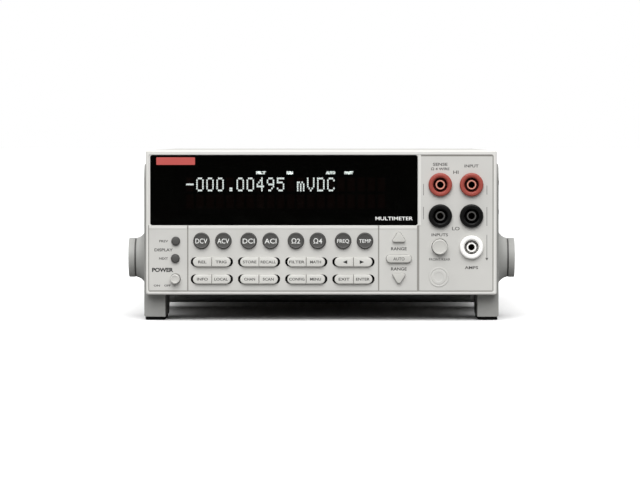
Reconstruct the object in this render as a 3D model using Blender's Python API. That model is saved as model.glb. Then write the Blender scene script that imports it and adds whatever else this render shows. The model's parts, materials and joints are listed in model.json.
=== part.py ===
"""Half-rack bench multimeter: bezel, keys, jacks, case, handle and inner parts.

Lengths are in millimetres until a mesh is made, which is in metres. +Z is up, the front
panel faces -Y, and the origin is the centre of the bounding box's bottom face.
"""

import math

import bmesh
import bpy
from mathutils import Matrix, Vector

MM = 0.001
GAP = 0.3  # clearance between neighbouring pieces

# Driving dimensions
DEPTH = 370.0
HALF_WIDTH = 107.0  # bezel, case sleeve and rear bezel
CASE_BOTTOM = 16.0
CASE_TOP = 104.0
CORNER = 2.0
BEZEL_CORNER = 1.2

# Planes along the depth, front to rear
BUTTON_FRONT = -DEPTH / 2
FACE = BUTTON_FRONT + 4.0  # rim of the front bezel
OVERLAY_SEAT = FACE + 0.5  # recess that the printed panel lies in
PLATE_BACK = FACE + 3.0
MAT_FRONT = FACE + 13.5
BOARD_FRONT = FACE + 15.0
BOARD_BACK = BOARD_FRONT + 1.6
CHASSIS_FRONT = BOARD_BACK + 0.9
BEZEL_BACK = FACE + 22.0
CASE_BACK = 166.0
PANEL_FRONT = 169.0  # rear sheet of the chassis
PANEL_BACK = PANEL_FRONT + 1.5
REAR_LIP = PANEL_BACK + 1.0
REAR_END = DEPTH / 2
FITTING_SEAT = PANEL_BACK + GAP  # where rear connectors' flanges start

# Front panel layout: x and z of each feature's centre
RECESS = (-105.6, 105.0, 17.8, 101.5)  # x0, x1, z0, z1, and the window's below
WINDOW = (-104.4, 58.8, 58.3, 101.2)
JACK_PITCH = 19.05
JACK_X = 72.5
JACK_Z = 83.1
ROUND_ROW_Z = 48.9
PAIR_PITCH = 28.8
PAIR_X = -66.8
PAIR_ROWS_Z = (36.0, 25.5)
RANGE_X = 47.3
ROUND_KEY_START_X = -73.1
ROUND_KEY_PITCH = 13.35  # within a pair
BOSS_X = 5.5  # from a pair's middle to each key's mat boss
POWER_SPOT = (-89.2, 25.6)
INPUT_SWITCH_SPOT = (72.2, 45.2)
CAL_PORT_SPOT = (71.7, 26.8)

# Keys
KEY_TRAVEL = 1.0
KEY_FRONT = FACE - 1.9
KEY_BACK = MAT_FRONT - GAP - KEY_TRAVEL
KEY_CLEARANCE = 0.35
ROUND_KEY_R = 4.8
SMALL_KEY_R = 2.6
PILL_HALF_LENGTH = 11.5
PILL_R = 2.8
SLOT_HALF_LENGTH = 13.0
SLOT_R = 3.15
RANGE_SPOTS_Z = (51.1, 38.0, 26.2)  # up, auto, down
AUTO_PILL = (7.75, 2.45)  # half length, radius
BOSS_R = 2.0
BUTTON_TRAVEL = 3.0
BUTTON_ROD_END = -122.0
POWER_BUTTON_R = 3.0
POWER_ROD_R = 1.6
INPUT_BUTTON_R = 4.7
INPUT_ROD_R = 2.0
ROD_HOLE_R = 2.6

# Jacks and calibration port
JACK_FRONT = FACE - 2.6
JACK_NECK_R = 6.0
JACK_FLANGE_R = 7.2
SHROUD_R = 4.4
SHROUD_FLOOR = FACE + 8.0
CONTACT_TUBE_R = 2.9
BORE_R = 2.0
BORE_END = FACE + 23.0
CAL_PORT_NECK_R = 4.8
CAL_PORT_FLANGE_R = 6.1

# Handle and mounting ears
PIVOT = (FACE + 47.0, 37.3)  # y, z
HANDLE_DROP = math.radians(11.7)  # stored handle, below the horizontal
HANDLE_REACH = 140.0
HUB_R = 12.2
HUB_FACE_X = 115.0
HUB_SEAM = 1.0  # from the ear's hub to the handle's disc
HANDLE_SIDE_X = 119.8
EAR_INNER_X = HALF_WIDTH + GAP
EAR_OUTER_X = EAR_INNER_X + 1.3
ARM_CENTRE_X = 110.3  # handle's arms, past the hubs
EAR_Y = (FACE + 10.0, FACE + 67.0)
LEG_INNER_X = 95.6
PAD_TOP = 1.7
LEG_BOTTOM = PAD_TOP + GAP

# Rear fittings: x and z of each centre
INLET_SPOT = (-74.0, 42.0)
FAN_SPOT = (-26.0, 75.0)
FAN_R = 18.0
FAN_HALF_WIDTH = 20.5
FAN_START = PANEL_FRONT - GAP - 20.0
FAN_END = PANEL_FRONT - GAP
ROTOR_FRONT = FAN_START + 4.0
ROTOR_BACK = FAN_END - 1.0
DUCT_R = FAN_R + 0.9
BUS_SPOT = (-5.0, 35.0)
REAR_JACKS_SPOT = (79.0, 60.0)

# Case and chassis
CASE_WALL = 1.6
SHEET = 1.2
CHASSIS_HALF_WIDTH = 104.8
CHASSIS_BOTTOM = 18.4
CHASSIS_TOP = 101.6
CHASSIS_SIDE_TOP = 58.0
VENT_COUNT = 10
VENT_START = 70.0
VENT_PITCH = 7.0
VENT_WIDTH = 3.0
VENT_Z = (64.0, 90.0)

COLOURS = {
    # name: (sRGB colour, roughness, metallic)
    "bezel_plastic": ((214, 213, 209), 0.5, 0.0),
    "window_acrylic": ((5, 5, 4), 0.06, 0.0),
    "tube_glass": ((40, 46, 44), 0.1, 0.0),
    "board": ((38, 92, 60), 0.5, 0.0),
    "silicone": ((70, 70, 72), 0.7, 0.0),
    "dark_key": ((78, 77, 75), 0.55, 0.0),
    "light_key": ((202, 201, 196), 0.5, 0.0),
    "sheet_steel": ((176, 178, 180), 0.4, 1.0),
    "painted_case": ((208, 207, 202), 0.55, 0.0),
    "ear_plastic": ((146, 146, 144), 0.55, 0.0),
    "rubber": ((14, 14, 14), 0.8, 0.0),
    "red_jack": ((160, 72, 62), 0.4, 0.0),
    "black_jack": ((14, 14, 14), 0.4, 0.0),
    "white_jack": ((246, 245, 242), 0.4, 0.0),
    "black_plastic": ((30, 30, 31), 0.5, 0.0),
    "transformer_iron": ((92, 84, 70), 0.5, 0.8),
}

AXES = {"X": (1, 2, 0), "Y": (0, 2, 1), "Z": (0, 1, 2)}  # outline's two axes, then the depth


# Outlines


def circle(centre, radius, sides):
    turns = (2 * math.pi * i / sides for i in range(sides))
    return [(centre[0] + radius * math.cos(a), centre[1] + radius * math.sin(a)) for a in turns]


def arc(centre, radius, start, end, steps):
    """Points from the start angle to the end angle, both in degrees."""
    angles = (math.radians(start + (end - start) * i / steps) for i in range(steps + 1))
    return [(centre[0] + radius * math.cos(a), centre[1] + radius * math.sin(a)) for a in angles]


def rounded(u0, u1, v0, v1, radius, steps=3):
    """Counterclockwise rectangle with round corners."""
    corners = ((u1, v1, 0), (u0, v1, 90), (u0, v0, 180), (u1, v0, 270))
    outline = []
    for u, v, start in corners:
        inward_u = -radius if u == u1 else radius
        inward_v = -radius if v == v1 else radius
        outline += arc((u + inward_u, v + inward_v), radius, start, start + 90, steps)
    return outline


def offset(outline, distance):
    """Convex counterclockwise outline moved inward by the distance, outward if negative."""
    moved = []
    count = len(outline)
    for i in range(count):
        before, here, after = (Vector(outline[(i + k) % count]) for k in (-1, 0, 1))
        along_in = (here - before).normalized()
        along_out = (after - here).normalized()
        normal_in = Vector((-along_in.y, along_in.x))
        normal_out = Vector((-along_out.y, along_out.x))
        mitre = (normal_in + normal_out).normalized()
        moved.append(tuple(here + mitre * distance / mitre.dot(normal_in)))
    return moved


def case_outline(wall=0.0, radius=CORNER):
    """Section of the case in x and z, or of a hollow that leaves the given wall."""
    half = HALF_WIDTH - wall
    return rounded(-half, half, CASE_BOTTOM + wall, CASE_TOP - wall, radius)


def shifted(outline, u, v):
    return [(p[0] + u, p[1] + v) for p in outline]


def pill(half_length, radius, steps=5):
    straight = half_length - radius
    return arc((straight, 0), radius, -90, 90, steps) + arc((-straight, 0), radius, 90, 270, steps)


def half_pill(side):
    """One key of a pair: round at the outer end, flat at the middle. side is -1 or 1."""
    straight = PILL_HALF_LENGTH - PILL_R
    right = arc((straight, 0), PILL_R, -90, 90, 6) + [(GAP / 2, PILL_R), (GAP / 2, -PILL_R)]
    return right if side > 0 else [(-u, v) for u, v in reversed(right)]


def triangle(direction):
    """Range key: an upright or inverted triangle with blunt corners."""
    up = [(-3.4, -2.9), (3.4, -2.9), (4.0, -2.0), (0.85, 3.1), (-0.85, 3.1), (-4.0, -2.0)]
    return up if direction > 0 else [(-u, -v) for u, v in up]


# Solids, added to a bmesh


def spot(axis, u, v, along):
    coordinates = [0.0, 0.0, 0.0]
    for place, value in zip(AXES[axis], (u, v, along)):
        coordinates[place] = value
    return Vector(coordinates)


def skin(bm, loops):
    """Closed solid through rings of points; a ring of one point is a pole."""
    rings = [[bm.verts.new(p) for p in loop] for loop in loops]
    sides = max(len(ring) for ring in rings)
    for a, b in zip(rings, rings[1:]):
        for i in range(sides):
            j = (i + 1) % sides
            corners = [a[i % len(a)], a[j % len(a)], b[j % len(b)], b[i % len(b)]]
            bm.faces.new(list(dict.fromkeys(corners)))
    for ring in (rings[0], rings[-1]):
        if len(ring) > 1:
            bm.faces.new(ring)


def loft(bm, axis, sections):
    """Solid through (outline, distance along the axis) sections."""
    skin(bm, [[spot(axis, u, v, along) for u, v in outline] for outline, along in sections])


def prism(bm, axis, outline, start, end):
    loft(bm, axis, [(outline, start), (outline, end)])


def box(bm, x0, x1, y0, y1, z0, z1):
    prism(bm, "Z", [(x0, y0), (x1, y0), (x1, y1), (x0, y1)], z0, z1)


def lathe(bm, axis, centre, profile, sides):
    """Turned solid from (radius, distance along the axis) points that start and end at radius 0."""
    loops = []
    for radius, along in profile:
        outline = circle(centre, radius, sides) if radius else [centre]
        loops.append([spot(axis, u, v, along) for u, v in outline])
    skin(bm, loops)


# Objects


def linear(channel):
    share = channel / 255
    return share / 12.92 if share <= 0.04045 else ((share + 0.055) / 1.055) ** 2.4


def material(name):
    made = bpy.data.materials.get(name)
    if made:
        return made
    colour, roughness, metallic = COLOURS[name]
    made = bpy.data.materials.new(name)
    made.use_nodes = True
    shader = made.node_tree.nodes["Principled BSDF"]
    shader.inputs["Base Color"].default_value = (*(linear(c) for c in colour), 1.0)
    shader.inputs["Roughness"].default_value = roughness
    shader.inputs["Metallic"].default_value = metallic
    made.diffuse_color = shader.inputs["Base Color"].default_value
    return made


def solid(name, bm, origin=(0.0, 0.0, 0.0)):
    """Object from a bmesh in millimetres, with its own origin at the given place."""
    bmesh.ops.recalc_face_normals(bm, faces=bm.faces)
    bm.transform(Matrix.Scale(MM, 4) @ Matrix.Translation(-Vector(origin)))
    mesh = bpy.data.meshes.new(name)
    bm.to_mesh(mesh)
    bm.free()
    made = bpy.data.objects.new(name, mesh)
    bpy.context.scene.collection.objects.link(made)
    made.location = Vector(origin) * MM
    return made


def part(name, bm, finish, parent, origin=(0.0, 0.0, 0.0)):
    made = solid(name, bm, origin)
    made.parent = parent
    made.data.materials.append(material(finish))
    made.data.shade_smooth()
    made.data.set_sharp_from_angle(angle=math.radians(35))
    return made


def combine(target, bm, operation, label):
    """Boolean of a part with a helper solid, which stays as a hidden guide."""
    helper = solid(f"{target.name}_{label}", bm)
    helper.hide_render = True
    helper.display_type = "WIRE"
    modifier = target.modifiers.new(label, "BOOLEAN")
    modifier.operation = operation
    modifier.solver = "EXACT"
    modifier.object = helper


def cut(target, bm, label="cutter"):
    combine(target, bm, "DIFFERENCE", label)


def join(target, bm, label="addition"):
    combine(target, bm, "UNION", label)


# Keys and buttons


def pair_centre(column, row):
    return (PAIR_X + PAIR_PITCH * column, PAIR_ROWS_Z[row])


def key_list():
    """Every sprung key: (name, outline about its centre, x, z, colour, x of its mat boss)."""
    keys = []
    round_outline = circle((0, 0), ROUND_KEY_R, 16)
    for i, name in enumerate(("dcv", "acv", "dci", "aci", "ohm2", "ohm4", "freq", "temp")):
        x = ROUND_KEY_START_X + PAIR_PITCH * (i // 2) + ROUND_KEY_PITCH * (i % 2)
        keys.append((f"key_{name}", round_outline, x, ROUND_ROW_Z, "dark_key", x))
    pairs = (
        (("rel", "trig"), ("store", "recall"), ("filter", "math"), ("left", "right")),
        (("info", "local"), ("chan", "scan"), ("config", "menu"), ("exit", "enter")),
    )
    for row, names in enumerate(pairs):
        for column, pair in enumerate(names):
            x, z = pair_centre(column, row)
            for side, name in zip((-1, 1), pair):
                keys.append((f"key_{name}", half_pill(side), x, z, "light_key", x + side * BOSS_X))
    up_z, auto_z, down_z = RANGE_SPOTS_Z
    keys.append(("key_range_up", triangle(1), RANGE_X, up_z, "light_key", RANGE_X))
    keys.append(("key_auto", pill(*AUTO_PILL), RANGE_X, auto_z, "light_key", RANGE_X))
    keys.append(("key_range_down", triangle(-1), RANGE_X, down_z, "light_key", RANGE_X))
    small_outline = circle((0, 0), SMALL_KEY_R, 12)
    keys.append(("key_prev", small_outline, -88.8, 48.7, "dark_key", -88.8))
    keys.append(("key_next", small_outline, -89.1, 38.1, "dark_key", -89.1))
    return keys


def make_keys(parent):
    for name, outline, x, z, finish, _ in key_list():
        here = shifted(outline, x, z)
        bm = bmesh.new()
        rings = [(offset(here, 0.6), KEY_FRONT), (here, KEY_FRONT + 0.5), (here, KEY_BACK)]
        loft(bm, "Y", rings)
        part(name, bm, finish, parent, origin=(x, KEY_FRONT, z))


def make_push_button(name, centre, radius, rod_radius, parent):
    """Cap that stands out of the panel, and the long rod to its switch on the main board."""
    front = BUTTON_FRONT
    profile = [
        (0, front + 0.35),
        (radius - 1.2, front + 0.2),
        (radius - 0.7, front),
        (radius, front + 0.7),
        (radius, PLATE_BACK + BUTTON_TRAVEL),
        (rod_radius, PLATE_BACK + BUTTON_TRAVEL),
        (rod_radius, BUTTON_ROD_END),
        (0, BUTTON_ROD_END),
    ]
    bm = bmesh.new()
    lathe(bm, "Y", centre, profile, 16)
    part(name, bm, "light_key", parent, origin=(centre[0], front, centre[1]))


# Front end


def make_front_bezel(parent):
    outer = case_outline(0.0, BEZEL_CORNER)
    bm = bmesh.new()
    loft(bm, "Y", [(offset(outer, 0.7), FACE), (outer, FACE + 0.7), (outer, BEZEL_BACK)])
    bezel = part("front_bezel", bm, "bezel_plastic", parent)

    bm = bmesh.new()
    prism(bm, "Y", case_outline(2.0, 1.0), PLATE_BACK, BEZEL_BACK + 1)
    cut(bezel, bm, "hollow")

    bm = bmesh.new()
    prism(bm, "Y", rounded(*RECESS, 0.8, 1), FACE - 1, OVERLAY_SEAT)
    cut(bezel, bm, "overlay_seat")

    bm = bmesh.new()
    openings = [rounded(*WINDOW, 0.9, 1)]
    for name, outline, x, z, _, _ in key_list():
        if outline not in (half_pill(-1), half_pill(1)):
            openings.append(shifted(offset(outline, -KEY_CLEARANCE), x, z))
    for row in range(2):
        for column in range(4):
            openings.append(shifted(pill(SLOT_HALF_LENGTH, SLOT_R), *pair_centre(column, row)))
    openings.append(circle(POWER_SPOT, POWER_BUTTON_R + KEY_CLEARANCE, 16))
    openings.append(circle(INPUT_SWITCH_SPOT, INPUT_BUTTON_R + KEY_CLEARANCE, 16))
    openings.append(circle(CAL_PORT_SPOT, CAL_PORT_NECK_R + GAP, 16))
    for _, centre, _ in jack_list():
        openings.append(circle(centre, JACK_NECK_R + GAP, 16))
    for outline in openings:
        prism(bm, "Y", outline, FACE - 0.5, PLATE_BACK + 0.5)
    cut(bezel, bm, "openings")


def make_display(parent):
    x0, x1, z0, z1 = WINDOW
    front = rounded(x0 + GAP, x1 - GAP, z0 + GAP, z1 - GAP, 0.9, 2)
    bm = bmesh.new()
    loft(bm, "Y", [(offset(front, 0.15), FACE + 0.15), (front, FACE + 0.3), (front, PLATE_BACK + 0.3)])
    lens = part("display_lens", bm, "window_acrylic", parent)
    bm = bmesh.new()
    box(bm, x0 - 0.35, x1 + 1.5, PLATE_BACK + GAP, PLATE_BACK + 1.5, z0 - 1.5, z1 + 0.5)
    join(lens, bm, "flange")

    tube = rounded(-92.0, 48.0, 63.0, 97.0, 1.5, 1)
    bm = bmesh.new()
    loft(bm, "Y", [(offset(tube, 2.5), BOARD_FRONT - 8.5), (tube, BOARD_FRONT - 6.0), (tube, BOARD_FRONT - GAP)])
    part("display_tube", bm, "tube_glass", parent)

    bm = bmesh.new()
    prism(bm, "Y", rounded(-103.0, 57.0, 20.0, 100.0, 2.0, 1), BOARD_FRONT, BOARD_BACK)
    board = part("display_board", bm, "board", parent)
    bm = bmesh.new()
    prism(bm, "Y", circle(POWER_SPOT, ROD_HOLE_R, 12), BOARD_FRONT - 1, BOARD_BACK + 1)
    cut(board, bm, "rod_hole")


def make_keypad_mat(parent):
    bm = bmesh.new()
    web_front = BOARD_FRONT - GAP - 1.0
    prism(bm, "Y", rounded(-100.0, 56.0, 20.5, 57.0, 2.0, 1), web_front, BOARD_FRONT - GAP)
    mat = part("keypad_mat", bm, "silicone", parent)
    bm = bmesh.new()
    for _, _, _, z, _, boss_x in key_list():
        prism(bm, "Y", circle((boss_x, z), BOSS_R, 8), MAT_FRONT, web_front + 0.5)
    join(mat, bm, "bosses")
    bm = bmesh.new()
    prism(bm, "Y", circle(POWER_SPOT, ROD_HOLE_R, 12), web_front - 1, BOARD_FRONT + 1)
    cut(mat, bm, "rod_hole")


def jack_list():
    """Name, centre and finish of the front input jacks, on the 3/4 inch grid."""
    right = JACK_X + JACK_PITCH
    middle = JACK_Z - JACK_PITCH
    return (
        ("jack_sense_hi", (JACK_X, JACK_Z), "red_jack"),
        ("jack_input_hi", (right, JACK_Z), "red_jack"),
        ("jack_sense_lo", (JACK_X, middle), "black_jack"),
        ("jack_input_lo", (right, middle), "black_jack"),
        ("amps_fuse_jack", (right, middle - JACK_PITCH), "white_jack"),
    )


def make_jacks(parent):
    """Safety jack: flange, finger-safe shroud, contact tube with a 4 mm bore, and neck."""
    front = JACK_FRONT
    seat = FACE + 0.1
    contact_front = front + 1.0
    for name, centre, finish in jack_list():
        profile = [
            (0, BORE_END),
            (BORE_R, BORE_END),
            (BORE_R, contact_front),
            (CONTACT_TUBE_R, contact_front),
            (CONTACT_TUBE_R, SHROUD_FLOOR),
            (SHROUD_R, SHROUD_FLOOR),
            (SHROUD_R, front),
            (JACK_FLANGE_R - 0.7, front),
            (JACK_FLANGE_R, front + 0.7),
            (JACK_FLANGE_R, seat),
            (JACK_NECK_R, seat),
            (JACK_NECK_R, BORE_END + 2.0),
            (0, BORE_END + 2.0),
        ]
        bm = bmesh.new()
        lathe(bm, "Y", centre, profile, 20)
        jack = part(name, bm, finish, parent, origin=(centre[0], FACE, centre[1]))
        if name == "amps_fuse_jack":
            bm = bmesh.new()
            box(bm, centre[0] - 8, centre[0] + 8, front - 1, front + 0.8, centre[1] - 0.6, centre[1] + 0.6)
            cut(jack, bm, "turning_slot")


def make_cal_port_plug(parent):
    front = FACE - 0.4
    profile = [
        (0, front + 0.5),
        (2.6, front + 0.5),
        (3.0, front),
        (CAL_PORT_FLANGE_R - 0.5, front),
        (CAL_PORT_FLANGE_R, front + 0.3),
        (CAL_PORT_FLANGE_R, FACE + 0.1),
        (CAL_PORT_NECK_R, FACE + 0.1),
        (CAL_PORT_NECK_R, FACE + 6.0),
        (0, FACE + 6.0),
    ]
    bm = bmesh.new()
    lathe(bm, "Y", CAL_PORT_SPOT, profile, 16)
    part("cal_port_plug", bm, "light_key", parent, origin=(CAL_PORT_SPOT[0], FACE, CAL_PORT_SPOT[1]))


# Sleeve and tray


def make_case_cover(parent):
    outer = case_outline()
    bm = bmesh.new()
    prism(bm, "Y", outer, BEZEL_BACK + GAP, CASE_BACK)
    cover = part("case_cover", bm, "painted_case", parent)
    bm = bmesh.new()
    prism(bm, "Y", case_outline(CASE_WALL, CORNER / 2), BEZEL_BACK - 1, CASE_BACK + 1)
    cut(cover, bm, "inside")
    bm = bmesh.new()
    for side in (-1, 1):
        for slot in range(VENT_COUNT):
            y = VENT_START + VENT_PITCH * slot
            outline = rounded(y, y + VENT_WIDTH, *VENT_Z, 0.5, 1)
            prism(bm, "X", outline, side * (HALF_WIDTH - 3), side * (HALF_WIDTH + 2))
    cut(cover, bm, "vents")


def fan_slots(bm, start, end):
    """Louvre slots that fill a circle in front of the fan."""
    for level in range(-3, 4):
        z = 5.0 * level
        half = math.sqrt(FAN_R**2 - (abs(z) + 1.5) ** 2)
        outline = rounded(-half, half, z - 1.5, z + 1.5, 0.8, 1)
        prism(bm, "Y", shifted(outline, *FAN_SPOT), start, end)


def make_chassis(parent):
    """Folded tray: floor, two sides and the rear panel with its cut-outs."""
    bm = bmesh.new()
    box(bm, -CHASSIS_HALF_WIDTH, CHASSIS_HALF_WIDTH, CHASSIS_FRONT, PANEL_BACK, CHASSIS_BOTTOM, CHASSIS_TOP)
    chassis = part("chassis", bm, "sheet_steel", parent)
    inner_x = CHASSIS_HALF_WIDTH - SHEET
    inner_z = CHASSIS_BOTTOM + SHEET
    bm = bmesh.new()
    box(bm, -inner_x, inner_x, CHASSIS_FRONT - 1, PANEL_FRONT, inner_z, CHASSIS_TOP + 1)
    cut(chassis, bm, "inside")
    bm = bmesh.new()
    box(bm, -120, 120, CHASSIS_FRONT - 1, PANEL_FRONT - 0.01, CHASSIS_SIDE_TOP, CHASSIS_TOP + 2)
    cut(chassis, bm, "low_sides")

    bm = bmesh.new()
    through = (PANEL_FRONT - 2, PANEL_BACK + 2)
    x, z = INLET_SPOT
    prism(bm, "Y", rounded(x - 22.8, x + 22.8, z - 13.3, z + 13.3, 0.3, 1), *through)
    x, z = BUS_SPOT
    prism(bm, "Y", rounded(x - 26.3, x + 26.3, z - 6.8, z + 6.8, 1.0, 1), *through)
    x, z = REAR_JACKS_SPOT
    prism(bm, "Y", rounded(x - 17.0, x + 17.0, z - 27.0, z + 27.0, 0.3, 1), *through)
    fan_slots(bm, *through)
    cut(chassis, bm, "cutouts")


def make_main_board(parent):
    top = 23.6
    bm = bmesh.new()
    outline = [(-101, -158), (101, -158), (101, 148), (-38, 148), (-38, 66), (-101, 66)]
    prism(bm, "Z", outline, top - 1.6, top)
    board = part("main_board", bm, "board", parent)

    bm = bmesh.new()
    sunk = top - 0.4
    x, z = POWER_SPOT
    switch_start = -118.0
    box(bm, x - 6, x + 6, switch_start, switch_start + 22, sunk, z + 6)
    x, z = INPUT_SWITCH_SPOT
    box(bm, x - 7, x + 7, switch_start, switch_start + 28, sunk, z + 7)
    box(bm, -30, 45, -110, -20, sunk, top + 24)  # shield over the converter
    box(bm, 66, 94, -60, -30, sunk, top + 14)  # relays
    box(bm, -90, -60, 0, 10, sunk, top + 30)  # heat sink
    for x, y, radius, height in ((-78, 36, 9, 34), (-56, 36, 9, 34), (0, 60, 11, 40), (28, 60, 8, 28)):
        prism(bm, "Z", circle((x, y), radius, 14), sunk, top + height)
    join(board, bm, "components")


def make_transformer(parent):
    """Laminated core with the winding bulging out of its window."""
    y0, y1 = 78.0, 130.0
    x0, x1 = -99.0, -47.0
    z0 = CHASSIS_BOTTOM + SHEET + GAP
    bm = bmesh.new()
    prism(bm, "Y", rounded(x0, x1, z0, z0 + 44, 2.0, 1), y0 + 12, y1 - 12)
    transformer = part("transformer", bm, "transformer_iron", parent)
    bm = bmesh.new()
    prism(bm, "Y", rounded(x0 + 9, x1 - 9, z0 + 9, z0 + 35, 6.0, 3), y0, y1)
    join(transformer, bm, "winding")


# Rear end


def make_rear_bezel(parent):
    outer = case_outline()
    start = CASE_BACK + GAP
    bm = bmesh.new()
    loft(bm, "Y", [(outer, start), (outer, REAR_END - 2.0), (offset(outer, 1.6), REAR_END)])
    bezel = part("rear_bezel", bm, "ear_plastic", parent)
    bm = bmesh.new()
    prism(bm, "Y", case_outline(1.9, 0.8), start - 1, REAR_LIP)
    cut(bezel, bm, "panel_pocket")
    bm = bmesh.new()
    prism(bm, "Y", case_outline(5.5, 3.0), start - 1, REAR_END + 1)
    cut(bezel, bm, "opening")


def make_fan(parent, fan_turn):
    x, z = FAN_SPOT
    half = FAN_HALF_WIDTH
    bm = bmesh.new()
    prism(bm, "Y", rounded(x - half, x + half, z - half, z + half, 3.0, 2), FAN_START, FAN_END)
    housing = part("fan_housing", bm, "black_plastic", parent)
    bm = bmesh.new()
    prism(bm, "Y", circle(FAN_SPOT, DUCT_R, 24), FAN_START + 3.0, FAN_END + 1)
    cut(housing, bm, "duct")
    bm = bmesh.new()
    for quarter in range(4):
        first = 90 * quarter + 6
        outline = arc(FAN_SPOT, DUCT_R, first, first + 78, 5)
        outline += arc(FAN_SPOT, 9.5, first + 72, first + 6, 3)
        prism(bm, "Y", outline, FAN_START - 1, FAN_START + 3.5)
    cut(housing, bm, "intake")

    front, back = ROTOR_FRONT, ROTOR_BACK
    bm = bmesh.new()
    lathe(bm, "Y", FAN_SPOT, [(0, front), (8.5, front), (9.0, front + 0.5), (9.0, back), (0, back)], 16)
    rotor = part("fan_rotor", bm, "black_plastic", fan_turn, origin=(x, (front + back) / 2, z))
    rotor.location = (0, 0, 0)
    bm = bmesh.new()
    blades = 7
    for blade in range(blades):
        loops = []
        for radius, width in ((8.0, 9.0), (13.0, 11.0), (FAN_R, 12.0)):
            lead = math.radians(360 / blades * blade)
            twist = math.radians(34)
            loop = []
            for share, thick in ((0, -1), (1, -1), (1, 1), (0, 1)):
                angle = lead + twist * share + thick * 0.7 / radius
                y = front + 0.8 + width * share
                loop.append((x + radius * math.cos(angle), y, z + radius * math.sin(angle)))
            loops.append(loop)
        skin(bm, loops)
    join(rotor, bm, "blades")


def make_power_inlet(parent):
    """Appliance inlet for a mains cord, with the socket for its fuse drawer beside it."""
    x, z = INLET_SPOT
    back = FITTING_SEAT + 2.5
    bm = bmesh.new()
    prism(bm, "Y", rounded(x - 26.0, x + 26.0, z - 15.5, z + 15.5, 2.0, 2), FITTING_SEAT, back)
    inlet = part("power_inlet", bm, "black_plastic", parent)
    bm = bmesh.new()
    box(bm, x - 22.4, x + 22.4, back - 28.0, back - 1.0, z - 12.9, z + 12.9)
    join(inlet, bm, "body")

    cavity_x = x - 8.5
    floor = back - 16.0
    low, high, half = z - 8.2, z + 8.2, 12.2
    outline = [
        (cavity_x - half, low),
        (cavity_x + half, low),
        (cavity_x + half, high - 5.0),
        (cavity_x + half - 5.0, high),
        (cavity_x - half + 5.0, high),
        (cavity_x - half, high - 5.0),
    ]
    bm = bmesh.new()
    prism(bm, "Y", outline, floor, back + 1)
    cut(inlet, bm, "cavity")
    bm = bmesh.new()
    box(bm, x + 7.7, x + 20.3, back - 24.0, back + 1, z - 10.3, z + 10.3)
    cut(inlet, bm, "drawer_socket")
    bm = bmesh.new()
    for pin_x, pin_z in ((cavity_x - 7.0, z - 2.0), (cavity_x + 7.0, z - 2.0), (cavity_x, z + 2.5)):
        box(bm, pin_x - 1.0, pin_x + 1.0, floor - 0.5, back - 2.0, pin_z - 2.0, pin_z + 2.0)
    join(inlet, bm, "pins")

    bm = bmesh.new()
    box(bm, x + 8.0, x + 20.0, back - 23.0, back + 1.2, z - 10.0, z + 10.0)
    drawer = part("fuse_drawer", bm, "black_plastic", parent, origin=(x + 14.0, back, z))
    bm = bmesh.new()
    box(bm, x + 10.5, x + 17.5, back - 20.0, back - 1.5, z - 4.0, z + 11.0)
    cut(drawer, bm, "fuse_trough")
    bm = bmesh.new()
    box(bm, x + 11.0, x + 17.0, back + 1.0, back + 3.2, z - 3.0, z - 1.0)
    join(drawer, bm, "finger_grip")


def make_bus_connector(parent):
    x, z = BUS_SPOT
    seat = FITTING_SEAT
    bm = bmesh.new()
    prism(bm, "Y", rounded(x - 33.0, x + 33.0, z - 7.8, z + 7.8, 2.5, 2), seat, seat + 1.5)
    connector = part("gpib_connector", bm, "sheet_steel", parent)
    shell = [(x - 24.5, z + 5.2), (x - 22.0, z - 5.2), (x + 22.0, z - 5.2), (x + 24.5, z + 5.2)]
    bm = bmesh.new()
    prism(bm, "Y", shell, seat - 9.0, seat + 8.0)
    for side in (-1, 1):
        prism(bm, "Y", circle((x + side * 28.5, z), 3.2, 6), seat + 1.0, seat + 8.0)
    join(connector, bm, "shell")
    bm = bmesh.new()
    prism(bm, "Y", offset(shell, 1.2), seat + 1.0, seat + 9.0)
    cut(connector, bm, "slot")
    bm = bmesh.new()
    box(bm, x - 19.0, x + 19.0, seat + 0.5, seat + 7.0, z - 1.4, z + 1.4)
    join(connector, bm, "tongue")


def make_rear_jack_block(parent):
    x, z = REAR_JACKS_SPOT
    seat = FITTING_SEAT
    bm = bmesh.new()
    prism(bm, "Y", rounded(x - 20.0, x + 20.0, z - 30.0, z + 30.0, 2.0, 2), seat, seat + 2.5)
    block = part("rear_jack_block", bm, "black_plastic", parent)
    bm = bmesh.new()
    box(bm, x - 16.6, x + 16.6, seat - 14.0, seat + 1.0, z - 26.6, z + 26.6)
    half = JACK_PITCH / 2
    centres = [(x + side * half, z + row * JACK_PITCH) for side in (-1, 1) for row in (0, 1)]
    centres.append((x - half, z - JACK_PITCH))
    for centre in centres:
        prism(bm, "Y", circle(centre, 6.4, 16), seat + 2.0, seat + 5.0)
    join(block, bm, "bosses")
    bm = bmesh.new()
    for centre in centres:
        prism(bm, "Y", circle(centre, 2.0, 10), seat - 10.0, seat + 6.0)
    cut(block, bm, "bores")


# Ears, feet and handle


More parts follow.
